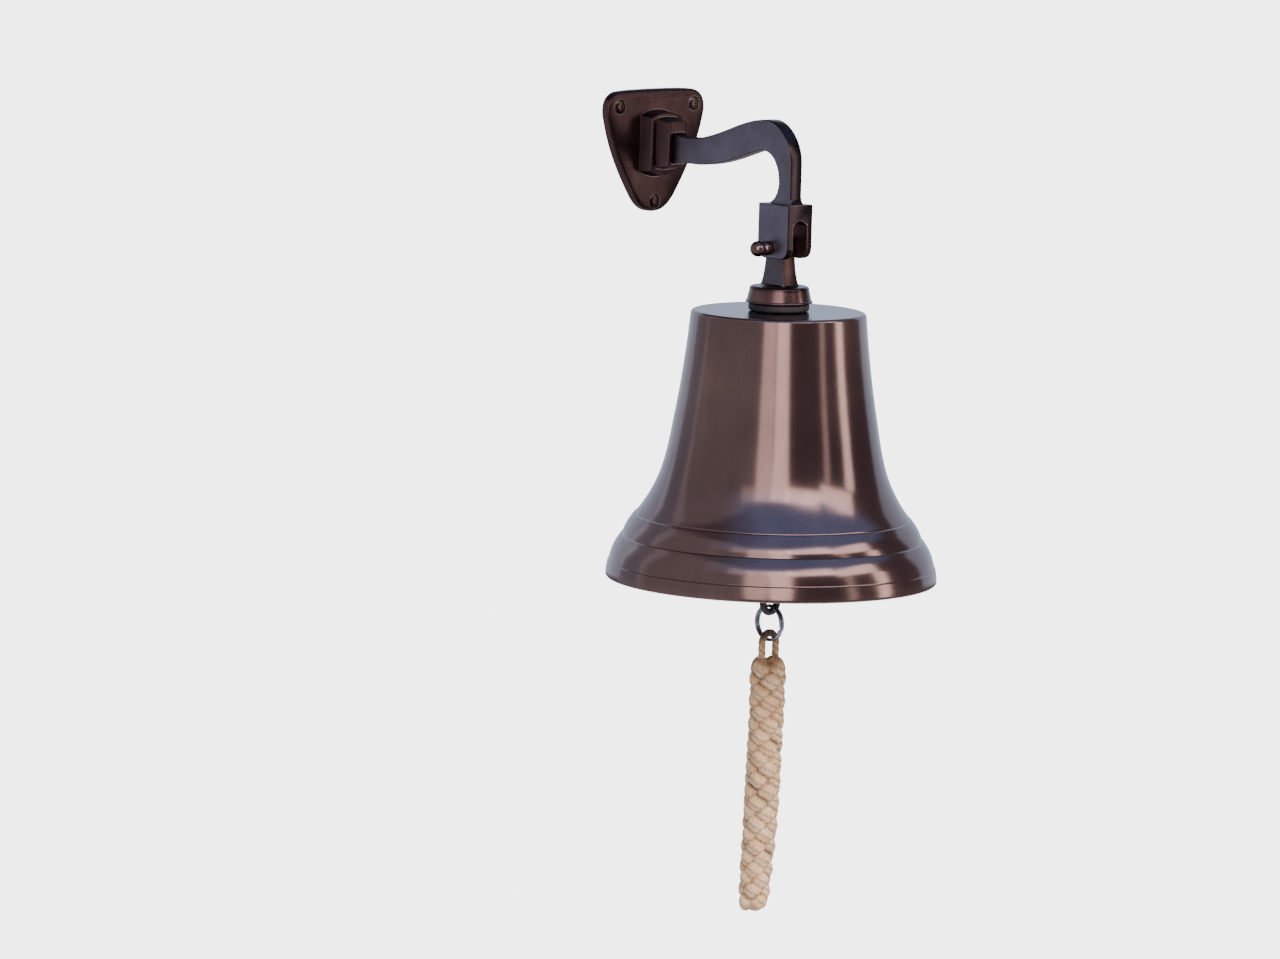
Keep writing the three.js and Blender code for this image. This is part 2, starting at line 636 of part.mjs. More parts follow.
add("bell_hanger", bellHanger(), ANTIQUE_COPPER());
add("crown_gasket", washer(STUD_R + GAP, GASKET_R, gasketBottom, gasketTop), RUBBER(), ON_AXIS);
add("bell_body", bellBody(), ANTIQUE_COPPER(), ON_AXIS);
add("inner_washer", washer(STUD_R + GAP, WASHER.r, washerTop - WASHER.thick, washerTop), ZINC(), ON_AXIS);
add("lock_washer", lockWasher(), ZINC(), ON_AXIS);
add("clamp_nut", clampNut(), ZINC(), ON_AXIS);
add("clapper_eyebolt", eyebolt(), ZINC(), ON_AXIS);

add("clapper_link", loop("x", LINK.half, LINK.long, LINK.wire), STEEL(), [0, -REACH, linkZ]);
add("clapper_rod", clapperRod(), BLACK_IRON(), ON_AXIS);
add("clapper_ball", clapperBall(), BLACK_IRON(), ON_AXIS);
add("split_ring", splitRing(), STEEL(), ON_AXIS);
add("lanyard_eye", lanyardEye(), COTTON(), ON_AXIS);
add("lanyard_sinnet", sinnet(), COTTON(), ON_AXIS);

export default group;
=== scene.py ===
"""A ship's bell on a swan-neck wall bracket, with its clapper, split ring and plaited rope pull.

Metres, +Z up. The wall is the plane y = 0, and the bell hangs towards -Y. A piece's own sizes, such
as TONGUE's or PLATE's, are in millimetres until they are multiplied by MM.
"""
import json
import math

import bpy
from mathutils import Matrix, Vector


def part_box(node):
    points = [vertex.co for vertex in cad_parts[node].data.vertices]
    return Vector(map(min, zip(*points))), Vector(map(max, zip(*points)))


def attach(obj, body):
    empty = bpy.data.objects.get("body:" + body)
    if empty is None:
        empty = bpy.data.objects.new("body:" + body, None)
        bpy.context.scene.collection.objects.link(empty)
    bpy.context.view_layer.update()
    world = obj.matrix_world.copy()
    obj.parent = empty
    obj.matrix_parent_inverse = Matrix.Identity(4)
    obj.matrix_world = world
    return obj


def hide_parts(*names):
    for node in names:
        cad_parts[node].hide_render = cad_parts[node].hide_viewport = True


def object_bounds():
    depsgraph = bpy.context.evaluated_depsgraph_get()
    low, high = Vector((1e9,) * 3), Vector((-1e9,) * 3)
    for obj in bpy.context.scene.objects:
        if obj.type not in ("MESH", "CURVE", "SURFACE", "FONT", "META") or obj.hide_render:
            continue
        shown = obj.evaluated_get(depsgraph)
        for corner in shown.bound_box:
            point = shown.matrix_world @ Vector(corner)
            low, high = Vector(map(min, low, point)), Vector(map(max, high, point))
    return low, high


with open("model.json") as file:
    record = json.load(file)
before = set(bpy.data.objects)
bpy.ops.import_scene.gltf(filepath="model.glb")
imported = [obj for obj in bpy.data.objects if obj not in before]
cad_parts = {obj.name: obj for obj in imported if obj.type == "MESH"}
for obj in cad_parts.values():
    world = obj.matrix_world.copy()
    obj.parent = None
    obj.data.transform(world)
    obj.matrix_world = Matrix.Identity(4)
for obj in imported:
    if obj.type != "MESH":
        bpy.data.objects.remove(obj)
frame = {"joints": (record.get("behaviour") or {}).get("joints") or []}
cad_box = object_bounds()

MM = 0.001
pivot = next(Vector(joint["pos_m"]) for joint in frame["joints"] if joint["name"] == "bell_swing")
reach = -pivot.y  # wall to bell axis
mouth_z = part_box("bell_body")[0].z
crown_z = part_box("bell_body")[1].z


# ---- sizes that the finishes share with the pieces -----------------------------------------

ARM = {"half": 4.5, "ease": 0.9, "root_z": -22.3, "root_half": 8.3, "start": 19.3, "boss": 22.5}
CLEVIS = {"near": 95.5, "far": 118.4, "half": 9.4, "top": -45.6, "bottom": -75.0, "corner": 6.0}
SLOT = {"half": 5.4, "top": -57.0, "rise": 3.0}
collar_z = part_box("bell_hanger")[0].z


# ---- camera --------------------------------------------------------------------------------

SENSOR = 36.0
CAMERA = {
    "azimuth": -45.0,  # from the bell's front, seen from its left
    "distance": 3.3785,
    "height": 0.5129,  # above the bell's mouth
    "yaw": -0.02144,
    "pitch": 0.13559,
    "roll": 0.02693,
    "lens": 176.9,
}


def add_camera():
    """Looks down a little on the bell from the left of its front, with a long lens."""
    turn = math.radians(CAMERA["azimuth"])
    level_right = Vector((math.cos(turn), math.sin(turn), 0))
    level_ahead = Vector((-math.sin(turn), math.cos(turn), 0))
    yaw, pitch, roll = CAMERA["yaw"], CAMERA["pitch"], CAMERA["roll"]
    ahead = math.cos(pitch) * (math.sin(yaw) * level_right + math.cos(yaw) * level_ahead)
    ahead.z = -math.sin(pitch)
    right = math.cos(yaw) * level_right - math.sin(yaw) * level_ahead
    up = right.cross(ahead)
    tilted_right = math.cos(roll) * right + math.sin(roll) * up
    tilted_up = -math.sin(roll) * right + math.cos(roll) * up
    place = Vector((0, -reach, mouth_z + CAMERA["height"])) - CAMERA["distance"] * level_ahead
    matrix = Matrix((tilted_right, tilted_up, -ahead)).transposed().to_4x4()
    matrix.translation = place
    bpy.ops.object.camera_add()
    camera = bpy.context.object
    camera.matrix_world = matrix
    camera.data.lens = CAMERA["lens"]
    camera.data.sensor_width = SENSOR
    camera.data.clip_start = 0.05
    bpy.context.scene.camera = camera


# ---- modelling helpers ---------------------------------------------------------------------


def deselect_all():
    bpy.ops.object.select_all(action="DESELECT")


def take(piece):
    """Makes one piece the only thing that operators act on."""
    if bpy.context.object and bpy.context.object.mode != "OBJECT":
        bpy.ops.object.mode_set(mode="OBJECT")
    deselect_all()
    piece.select_set(True)
    bpy.context.view_layer.objects.active = piece
    return piece


def settle(piece, name=None):
    """Puts a piece's place into its mesh, so that its object sits at the origin."""
    take(piece)
    bpy.ops.object.transform_apply(location=True, rotation=True, scale=True)
    if name:
        piece.name = name
        piece.data.name = name
    return piece


def moved(piece, place, turn=None):
    """Turns a piece about the origin, moves it, and settles it."""
    if turn is not None:
        piece.rotation_euler = turn
    piece.location = place
    return settle(piece)


def clean(piece, merge=None, flatten=None):
    """Merges points closer than merge, dissolves faces flat to an angle, and faces all outwards."""
    take(piece)
    bpy.ops.object.mode_set(mode="EDIT")
    bpy.ops.mesh.select_all(action="SELECT")
    if merge:
        bpy.ops.mesh.remove_doubles(threshold=merge)
    if flatten:
        bpy.ops.mesh.dissolve_limited(angle_limit=math.radians(flatten))
    bpy.ops.mesh.normals_make_consistent(inside=False)
    bpy.ops.object.mode_set(mode="OBJECT")
    return piece


def apply_modifier(piece, kind, **settings):
    take(piece)
    modifier = piece.modifiers.new(kind.lower(), kind)
    for key, value in settings.items():
        setattr(modifier, key, value)
    bpy.ops.object.modifier_apply(modifier=modifier.name)
    return piece


def smooth(piece, angle):
    """Shades a piece smooth, apart from edges sharper than an angle."""
    take(piece)
    bpy.ops.object.shade_smooth_by_angle(angle=math.radians(angle))
    return piece


def ease_edges(piece, width, segments, angle):
    """Rounds a piece's sharp edges."""
    apply_modifier(
        piece, "BEVEL", width=width, segments=segments, limit_method="ANGLE",
        angle_limit=math.radians(angle), harden_normals=False, loop_slide=False,
    )
    return piece


def combine(piece, tool, operation):
    """Joins a tool to a piece or cuts it away, and removes the tool."""
    apply_modifier(piece, "BOOLEAN", object=tool, operation=operation, solver="EXACT")
    bpy.data.objects.remove(tool)
    return piece


def block(size, place, turn=(0, 0, 0)):
    """A box of three sizes, turned about its middle and set there."""
    deselect_all()
    bpy.ops.mesh.primitive_cube_add(size=1, location=place)
    box = bpy.context.object
    box.scale = size
    box.rotation_euler = turn
    return settle(box)


SAME_POINT = 2e-6  # points closer than this are merged
AXIS_POINT = 2e-6  # a ring this small becomes one point on the axis


def turned(name, profile, sides=96):
    """Turns [radius, height] points about Z: a circle is extruded and sized ring by ring."""
    deselect_all()
    points = [(max(r, AXIS_POINT), z) for r, z in profile]
    radius, height = points[0]
    bpy.ops.mesh.primitive_circle_add(vertices=sides, radius=radius, location=(0, 0, height))
    piece = bpy.context.object
    bpy.ops.object.mode_set(mode="EDIT")
    bpy.ops.mesh.select_all(action="SELECT")
    for next_radius, next_height in points[1:]:
        rise = (0, 0, next_height - height)
        bpy.ops.mesh.extrude_region_move(TRANSFORM_OT_translate={"value": rise})
        grow = next_radius / radius
        bpy.ops.transform.resize(value=(grow, grow, 1), center_override=(0, 0, next_height))
        radius, height = next_radius, next_height
    clean(piece, merge=3 * AXIS_POINT)
    return settle(piece, name)


def in_metres(points, foot=0.0):
    """[radius, height above a foot] in millimetres, as turned() takes them, in metres."""
    return [(r * MM, foot + z * MM) for r, z in points]


def on_bell(name, profile, sides=96):
    """A piece turned about the bell's own axis."""
    return moved(turned(name, profile, sides), (0, -reach, 0))


def curved(points, steps=6):
    """A smooth line through points (Catmull-Rom), with so many steps between each two."""
    line = []
    last = len(points) - 1
    for i in range(last):
        a, b = Vector(points[max(i - 1, 0)]), Vector(points[i])
        c, d = Vector(points[i + 1]), Vector(points[min(i + 2, last)])
        for step in range(steps):
            t = step / steps
            line.append(
                0.5 * (2 * b + (c - a) * t + (2 * a - 5 * b + 4 * c - d) * t * t
                       + (3 * b - a - 3 * c + d) * t ** 3)
            )
    return line + [Vector(points[last])]


def angles(count):
    """So many angles, evenly round a circle."""
    return [2 * math.pi * i / count for i in range(count)]


# An outline is a list of knots, each a point with its handle before and its handle after.


def pen(start):
    """Starts an outline, which line_to, curve_to and arc_to then draw."""
    return [[start, start, start]]


def line_to(knots, *points):
    knots.extend([point, point, point] for point in points)


def curve_to(knots, first, second, point):
    knots[-1][2] = first
    knots.append([point, second, point])


def arc_to(knots, control, point):
    """A curve that heads for one control point and bends to its end."""
    start, control, end = Vector(knots[-1][0]), Vector(control), Vector(point)
    first = start + (control - start) * 2 / 3
    second = end + (control - end) * 2 / 3
    curve_to(knots, tuple(first), tuple(second), tuple(end))


def mirrored(half):
    """Completes an outline from its half on one side of x = 0, drawn from start to end."""
    def flip(point):
        return (-point[0], point[1])

    other = [[flip(p), flip(after), flip(before)] for p, before, after in reversed(half) if p[0]]
    if not half[0][0][0]:
        half[0][1] = flip(half[0][2])
    if not half[-1][0][0]:
        half[-1][2] = flip(half[-1][1])
    return half + other


def outline_in_metres(knots, across=0.0, up=0.0):
    """An outline drawn in millimetres, moved across and up, in metres."""
    return [[(across + x * MM, up + y * MM) for x, y in knot] for knot in knots]


def flat_piece(name, outline, low, high, ease=0.0, resolution=10):
    """A flat curve closed on itself and thickened from low to high along its own Z."""
    deselect_all()
    bpy.ops.curve.primitive_bezier_curve_add()
    curve = bpy.context.object
    spline = curve.data.splines[0]
    spline.bezier_points.add(len(outline) - len(spline.bezier_points))
    for knot, (point, before, after) in zip(spline.bezier_points, outline):
        knot.handle_left_type = knot.handle_right_type = "FREE"
        knot.co = (*point, 0)
        knot.handle_left = (*before, 0)
        knot.handle_right = (*after, 0)
    spline.use_cyclic_u = True
    spline.resolution_u = resolution
    curve.data.dimensions = "2D"
    curve.data.fill_mode = "BOTH"
    curve.data.extrude = (high - low) / 2 - ease
    curve.data.bevel_depth = ease
    curve.data.bevel_resolution = 3 if ease else 0
    curve.data.offset = -ease
    curve.location = (0, 0, (low + high) / 2)
    bpy.ops.object.convert(target="MESH")
    piece = settle(bpy.context.object, name)
    return clean(piece, merge=SAME_POINT, flatten=0.05)


# flat curves are drawn lying down; these stand them up
FROM_WALL = (math.pi / 2, 0, 0)  # (x, y) becomes (x, z), thickness goes out to -Y
SIDE_ON = Matrix(((0, 0, -1, 0), (-1, 0, 0, 0), (0, 1, 0, 0), (0, 0, 0, 1)))


def side_on(piece):
    """Stands a flat piece drawn as (distance out, height) up along the arm."""
    piece.matrix_world = SIDE_ON
    return settle(piece)


def out_from_wall(piece, place=(0, 0, 0)):
    return moved(piece, place, FROM_WALL)


def round_wire(name, points, radius, closed=False, sides=6):
    """Round wire along a line of points, made from a curve."""
    deselect_all()
    bpy.ops.curve.primitive_bezier_curve_add()
    curve = bpy.context.object
    curve.data.splines.clear()
    spline = curve.data.splines.new("POLY")
    spline.points.add(len(points) - 1)
    for knot, point in zip(spline.points, points):
        knot.co = (*point, 1)
    spline.use_cyclic_u = closed
    curve.data.bevel_depth = radius
    curve.data.bevel_resolution = sides
    curve.data.use_fill_caps = not closed
    curve.data.twist_mode = "MINIMUM"
    bpy.ops.object.convert(target="MESH")
    return clean(settle(bpy.context.object, name), merge=1e-6)


# ---- materials -----------------------------------------------------------------------------


class Value:
    """One socket of a node graph; arithmetic on it adds Math nodes."""

    def __init__(self, graph, socket):
        self.graph = graph
        self.socket = socket

    def _math(self, operation, *inputs):
        settings = {"operation": operation}
        return self.graph.node("ShaderNodeMath", settings, dict(enumerate(inputs)))

    def __add__(self, other):
        return self._math("ADD", self, other)

    __radd__ = __add__

    def __sub__(self, other):
        return self._math("SUBTRACT", self, other)

    def __rsub__(self, other):
        return self._math("SUBTRACT", other, self)

    def __mul__(self, other):
        return self._math("MULTIPLY", self, other)

    __rmul__ = __mul__

    def size(self):
        return self._math("ABSOLUTE", self)

    def sine(self):
        return self._math("SINE", self)

    def clamped(self):
        return self.graph.node("ShaderNodeClamp", {}, {"Value": self})


class Graph:
    """A tree of shader nodes, built up in code."""

    def __init__(self, tree):
        self.nodes = tree.nodes
        self.links = tree.links

    def node(self, kind, settings, inputs, output=0):
        """Adds a node: its settings first, then its sockets' values or links."""
        node = self.nodes.new(kind)
        for key, value in settings.items():
            if key == "stops":
                self.set_stops(node.color_ramp.elements, value)
            else:
                setattr(node, key, value)
        for key, value in inputs.items():
            if isinstance(value, Value):
                self.links.new(value.socket, node.inputs[key])
            else:
                node.inputs[key].default_value = value
        return Value(self, node.outputs[output])

    @staticmethod
    def set_stops(elements, stops):
        while len(elements) < len(stops):
            elements.new(0.5)
        for element, (position, colour) in zip(elements, stops):
            element.position = position
            element.color = (*colour, 1)

    def coordinates(self, kind):
        return self.node("ShaderNodeTexCoord", {}, {}, kind)

    def ramp(self, value, *stops):
        return self.node("ShaderNodeValToRGB", {"stops": stops}, {"Fac": value})

    def mix(self, amount, first, second):
        settings = {"data_type": "RGBA", "blend_type": "MIX"}
        return self.node("ShaderNodeMix", settings, {0: amount, 6: first, 7: second}, 2)

    def dot(self, first, second):
        settings = {"operation": "DOT_PRODUCT"}
        return self.node("ShaderNodeVectorMath", settings, {0: first, 1: second}, "Value")

    def split(self, vector):
        """The x, y and z values of a vector."""
        node = self.node("ShaderNodeSeparateXYZ", {}, {"Vector": vector}).socket.node
        return [Value(self, output) for output in node.outputs]

    def steps(self, value, low, high, curve="SMOOTHSTEP"):
        """0 below low, 1 above high, and between them along a curve."""
        settings = {"interpolation_type": curve}
        limits = {"Value": value, "From Min": low, "From Max": high}
        return self.node("ShaderNodeMapRange", settings, limits)


class Finish(Graph):
    """A material with one Principled shader."""

    def __init__(self, name, **shader_values):
        self.material = bpy.data.materials.new(name)
        self.material.use_nodes = True
        super().__init__(self.material.node_tree)
        self.shader = self.nodes["Principled BSDF"]
        for key, value in shader_values.items():
            self.shader.inputs[self.socket_name(key)].default_value = value

    @staticmethod
    def socket_name(key):
        return key.replace("_", " ").title()

    def feed(self, **sockets):
        for key, value in sockets.items():
            self.links.new(value.socket, self.shader.inputs[self.socket_name(key)])

    def bump(self, height, strength, distance):
        values = {"Height": height, "Strength": strength, "Distance": distance}
        self.feed(normal=self.node("ShaderNodeBump", {}, values))

    def noise(self, scale, detail, roughness, stretch=(1, 1, 1)):
        place = {"Vector": self.coordinates("Object"), "Scale": stretch}
        spot = self.node("ShaderNodeMapping", {}, place)
        values = {"Vector": spot, "Scale": scale, "Detail": detail, "Roughness": roughness}
        return self.node("ShaderNodeTexNoise", {}, values)

    def edges(self, radius):
        """1 on a rounded outside or inside edge and 0 on the flat."""
        rounded = self.node("ShaderNodeBevel", {"samples": EDGE_SAMPLES}, {"Radius": radius})
        flat = self.node("ShaderNodeNewGeometry", {}, {}, "Normal")
        return self.steps(1 - self.dot(rounded, flat), 0.004, 0.12)


EDGE_SAMPLES = 10


def colour(r, g, b):
    """A colour given as the eye sees it, 0 to 255, in the linear values that shaders use."""
    def linear(channel):
        c = channel / 255
        return c / 12.92 if c <= 0.04045 else ((c + 0.055) / 1.055) ** 2.4

    return (linear(r), linear(g), linear(b))


def opaque(rgb):
    return (*rgb, 1)


def bell_copper():
    """Polished copper darkened to red-brown, with faint turning marks and handling clouds.

    The inside is left as it was cast: lighter, duller and grainy.
    """
    finish = Finish("bell_copper", metallic=1.0)
    clouds = finish.noise(14, 3, 0.55)
    streaks = finish.noise(60, 3, 0.6, stretch=(1, 1, 0.12))
    grain = finish.noise(650, 4, 0.65)
    tone = finish.ramp(
        clouds * 0.6 + streaks * 0.25 + grain * 0.15,
        (0.3, colour(108, 87, 86)), (0.52, colour(126, 103, 99)), (0.72, colour(146, 121, 113)),
    )
    spots = finish.steps(finish.noise(150, 5, 0.75), 0.6, 0.74)
    tone = finish.mix(spots * 0.25, tone, opaque(colour(74, 58, 58)))
    # painted highlight along the bell's rounded edges and the steps of its bands, where light catches
    # them
    tone = finish.mix(finish.edges(0.5 * MM) * 0.45, tone, opaque(colour(182, 156, 148)))
    facing = finish.split(finish.coordinates("Normal"))
    place = finish.split(finish.coordinates("Object"))
    outward = facing[0] * place[0] + facing[1] * (place[1] + reach)
    inside = finish.steps(0 - outward, 0.001, 0.006)
    tone = finish.mix(inside, tone, opaque(colour(168, 138, 126)))
    turning = finish.noise(1.0, 5, 0.7, stretch=(6, 6, 2600))
    rough = 0.08 + clouds * 0.1 + turning * 0.05 + inside * 0.3
    finish.feed(base_color=tone, roughness=rough.clamped())
    finish.bump(turning + inside * grain * 4, 0.05, 0.0002)
    return finish.material


PATINA = (0.3, 0.54, 0.75)  # where an antique finish's dark, middle and light tones lie
# painted highlight on rounded edges, where light catches them; it also stands for worn edges
EDGE_GLINT_AND_WEAR = colour(160, 140, 140)
# painted light inside the pivot's slot, which would otherwise stay in shade
SLOT_PAINTED_LIGHT = colour(126, 97, 94)


def antique(name, tones, side_reflection=None, reflection_mask=None, foot=None, slot=None, rough=0.2, edge_glint=0.6):
    """Metal with an antique patina, and a painted highlight along its edges that also stands for wear.

    tones are its dark, middle and light colours. The colour given for its flat sides is a painted
    reflection of the pale surroundings, and those sides are also rougher; the mask given with it
    is 1 where that reflection is painted, from the distances to the middle, to the wall and to the
    origin's height. foot is the tones below the height that it starts with, lighter tones that are a
    painted reflection. slot is half the width and the top of the pivot's slot, where painted light
    stands in for light inside.
    """
    finish = Finish(name, metallic=1.0)
    clouds = finish.noise(45, 4, 0.6)
    grain = finish.noise(800, 3, 0.6)
    across, out, up = finish.split(finish.coordinates("Object"))
    wide = across.size()
    tone = finish.ramp(clouds, *zip(PATINA, tones))
    # lighter tones below a height: a painted reflection, lighter than the patina above
    if foot:
        height, *painted_foot_tones = foot
        lower = finish.ramp(clouds, *zip(PATINA, painted_foot_tones))
        tone = finish.mix(finish.steps(up, height - 1 * MM, height + 1 * MM), lower, tone)
    sheen = rough - 0.06 + clouds * 0.14
    # inside the pivot's slot the colour is painted lighter, standing in for light that reaches in
    if slot:
        half, top = slot
        inside = 1 - finish.steps(wide, half, half + 0.3 * MM)
        inside = inside * (1 - finish.steps(up, top - 1 * MM, top + 1 * MM))
        tone = finish.mix(inside, tone, opaque(SLOT_PAINTED_LIGHT))
        sheen = sheen + inside * 0.2
    # painted reflection: flat sides facing along X take a blue-grey colour for the pale surroundings
    # they reflect; they are also made rougher
    if side_reflection:
        facing = finish.split(finish.coordinates("Normal"))[0].size()
        away = 0 - out + clouds * 4 * MM
        flat = finish.steps(facing, 0.72, 0.97) * reflection_mask(finish, wide, away, up)
        patches = finish.steps(finish.noise(70, 3, 0.6), 0.35, 0.7)
        rubbed = finish.mix(patches * 0.2 + grain * 0.2, opaque(side_reflection), tone)
        tone = finish.mix(flat, tone, rubbed)
        sheen = sheen + flat * (0.1 + grain * 0.16)
    # painted highlight along rounded edges, standing in for the light that they catch, and also for wear
    edge_glint_and_wear = (finish.edges(0.7 * MM) * (edge_glint * 0.2 + clouds * edge_glint)).clamped()
    tone = finish.mix(edge_glint_and_wear, tone, opaque(EDGE_GLINT_AND_WEAR))
    finish.feed(base_color=tone, roughness=sheen.clamped())
    finish.bump(grain, 0.08, 0.0003)
    return finish.material


def reflection_on_arm(finish, wide, away, up):
    """Where the painted reflection goes: the sides of the arm, clear of the boss, and the outer sides of
    the clevis; the root beside the boss stays dark, a painted shade.
    """
    foot, side, boss = CLEVIS["top"], CLEVIS["half"], ARM["boss"]
    arm = finish.steps(up, (foot - 0.9) * MM, (foot + 0.1) * MM)
    clevis = finish.steps(wide, (side - 0.4) * MM, (side - 0.2) * MM)
    # beside the boss the arm's root keeps the dark patina: a painted shade and dark reflection of the
    # boss
    clear = finish.steps(away, (boss + 1.5) * MM, (boss + 9.5) * MM)
    return clear * (arm + clevis).clamped()


def reflection_on_tongue(finish, wide, away, up):
    """Where the painted reflection goes: the sides of the tongue, above its spread into the collar."""
    return finish.steps(up, collar_z + 8.2 * MM, collar_z + 9.2 * MM)


def reflection_on_boss(finish, wide, away, up):
    """Where the painted reflection goes: every side that stands out from the wall."""
    return finish.steps(away, 0, 1 * MM)


def plain(name, tones, grain, rough, relief, patches=None, **shader_values):
    """A finish with no wear, toned by its patches, or by its grain where it has none.

    tones are a ramp's stops, grain and patches are (scale, detail), rough is (least, added by
    the grain), and relief is (strength, height).
    """
    finish = Finish(name, **shader_values)
    fine = finish.noise(*grain, 0.6)
    spread = finish.noise(*patches, 0.6) if patches else fine
    least, added = rough
    finish.feed(base_color=finish.ramp(spread, *tones), roughness=(least + fine * added).clamped())
    finish.bump(fine, *relief)
    return finish.material


def bare_metal(name, dark, light, rough):
    tones = ((0.3, dark), (0.7, light))
    return plain(name, tones, (400, 3), (rough, 0.15), (0.1, 0.0004), (60, 4), metallic=1.0)


YARNS = 9  # in one cord
YARN_LAY = 5200  # radians that the yarns turn in a metre


def cotton_cord():
    """Soft laid cotton: fine yarns wind round each cord, with painted shade where the plait dips in."""
    finish = Finish("cotton_cord", metallic=0.0, sheen_weight=0.2, sheen_roughness=0.5)
    lay = finish.node("ShaderNodeAttribute", {"attribute_name": "lay"}, {}, "Vector")
    turn, length, openness = finish.split(lay)
    yarns = (turn * (2 * math.pi * YARNS) + length * YARN_LAY).sine()
    fluff = finish.noise(900, 4, 0.7)
    clouds = finish.noise(120, 3, 0.6)
    tone = finish.ramp(
        clouds * 0.35 + fluff * 0.65,
        (0.36, colour(214, 162, 112)), (0.5, colour(240, 196, 148)), (0.64, colour(254, 228, 190)),
    )
    up = finish.split(finish.coordinates("Object"))[2]
    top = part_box("lanyard_eye")[1].z
    rubbed = finish.steps(up, top - 9 * MM, top - 3 * MM)
    tone = finish.mix(rubbed, tone, opaque(colour(104, 84, 76)))
    # painted shade: the cord colour goes dark where openness is low, in the crevices of the plait
    tone = finish.mix(openness, opaque(colour(66, 34, 18)), tone)
    finish.feed(base_color=tone, roughness=(0.82 + fluff * 0.12).clamped())
    finish.bump(yarns * 0.35 + fluff * 0.9, 0.8, 0.0005)
    return finish.material


FINISHES = {
    "bell_copper": bell_copper(),
    "antique_copper": antique(
        "antique_copper", (colour(48, 36, 36), colour(64, 48, 48), colour(82, 64, 62)),
        side_reflection=colour(104, 82, 84), reflection_mask=reflection_on_boss, rough=0.3, edge_glint=1.1,
    ),
    # the balls' copper is painted lighter than the rest, standing in for their bright highlight; it is
    # also smoother, as if buffed
    "pivot": antique(
        "pivot_highlight_copper", (colour(88, 68, 67), colour(120, 97, 94), colour(150, 126, 121)),
        rough=0.12,
    ),
    "hanger": antique(
        "hanger_copper", (colour(48, 35, 36), colour(66, 49, 49), colour(86, 66, 65)),
        side_reflection=colour(106, 100, 110), reflection_mask=reflection_on_tongue,
        # the collar's lighter tones are a painted reflection, standing in for the light its top catches
        foot=(collar_z + 7.2 * MM, colour(78, 58, 57), colour(110, 84, 83), colour(138, 110, 108)),
        rough=0.26,
    ),
    "satin_bracket": antique(
        "satin_bracket", (colour(40, 32, 34), colour(50, 41, 44), colour(64, 53, 56)),
        side_reflection=colour(126, 122, 137), reflection_mask=reflection_on_arm, edge_glint=0.5,
        slot=((SLOT["half"] + 0.1) * MM, (SLOT["top"] + 1) * MM),
    ),
    "dark_screw": antique(
        "dark_screw", (colour(50, 38, 36), colour(66, 51, 48), colour(88, 69, 64)), rough=0.26,
    ),
    "black_iron": plain(
        "black_iron", ((0.35, colour(20, 19, 21)), (0.7, colour(38, 36, 39))),
        grain=(260, 4), rough=(0.32, 0.3), relief=(0.25, 0.0006), metallic=0.0,
    ),
    "ring_steel": bare_metal("ring_steel", colour(112, 118, 132), colour(150, 157, 170), 0.26),
    "zinc": bare_metal("zinc", colour(150, 150, 146), colour(188, 188, 182), 0.28),
    "gasket": plain(
        "gasket_rubber", ((0.3, colour(30, 27, 31)), (0.7, colour(52, 48, 54))),
        grain=(500, 3), rough=(0.5, 0.2), relief=(0.15, 0.0003), metallic=0.0,
    ),
    "cotton": cotton_cord(),
}


def finished(piece, body, slot, *nodes, finish=None):
    """Gives a piece its material, named by its finish or else its slot, puts it in its body, and hides
    the CAD nodes that it stands for.
    """
    piece.data.materials.clear()
    piece.data.materials.append(FINISHES[finish or slot])
    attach(piece, body)
    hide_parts(*nodes)
    return piece


# ---- lanyard -------------------------------------------------------------------------------

sinnet_low, sinnet_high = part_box("lanyard_sinnet")
SINNET = {
    "top": sinnet_high.z,
    "bottom": sinnet_low.z,
    "lean": 3.3 * MM,  # the end lies this far towards -X and the wall
    "radius": 10.1 * MM,
    "end_radius": 8.0 * MM,
}
LAYER = 6.15 * MM  # from one crown of the plait to the next, before the layers are evened out
LUMP = {"half_arc": 43, "slope": 3.6, "thick": 4.6, "tall": 5.2, "tuck": 5.2}
CORD_R = 2.0 * MM
CORD_LAY = 11.5 * MM  # the length of one turn of the laid cord's strands


def sinnet_centre(t):
    """The plait's centreline, from its top (0) to its end (1), in the CAD's own curve."""
    lean = SINNET["lean"] * t * t
    z = SINNET["top"] + (SINNET["bottom"] - SINNET["top"]) * t
    return Vector((-lean, -reach + lean, z))


def sweep(rings):
    """Vertices, faces and lay values of a cord through rings of points, closed at both ends.

    Each ring is (points round it, distance along, how open to light each point is).
    """
    sides = len(rings[0][0])
    vertices, lay, faces = [], [], []
    for points, distance, openness in rings:
        vertices += points
        lay += [(j / sides, distance, openness[j]) for j in range(sides)]
    last = (len(rings) - 1) * sides
    for start in range(0, last, sides):
        for j in range(sides):
            k = (j + 1) % sides
            faces.append((start + j, start + k, start + sides + k, start + sides + j))
    faces.append(tuple(reversed(range(sides))))
    faces.append(tuple(range(last, last + sides)))
    return vertices, faces, lay


def cord_mesh(name, parts):
    """One mesh object from several swept cords, with its lay kept as an attribute."""
    vertices, faces, lay = [], [], []
    for part_vertices, part_faces, part_lay in parts:
        start = len(vertices)
        vertices += part_vertices
        faces += [tuple(start + i for i in face) for face in part_faces]
        lay += part_lay
    mesh = bpy.data.meshes.new(name)
    mesh.from_pydata([tuple(v) for v in vertices], [], faces)
    attribute = mesh.attributes.new("lay", "FLOAT_VECTOR", "POINT")
    attribute.data.foreach_set("vector", [number for triple in lay for number in triple])
    piece = bpy.data.objects.new(name, mesh)
    bpy.context.scene.collection.objects.link(piece)
    return smooth(clean(piece), 80)


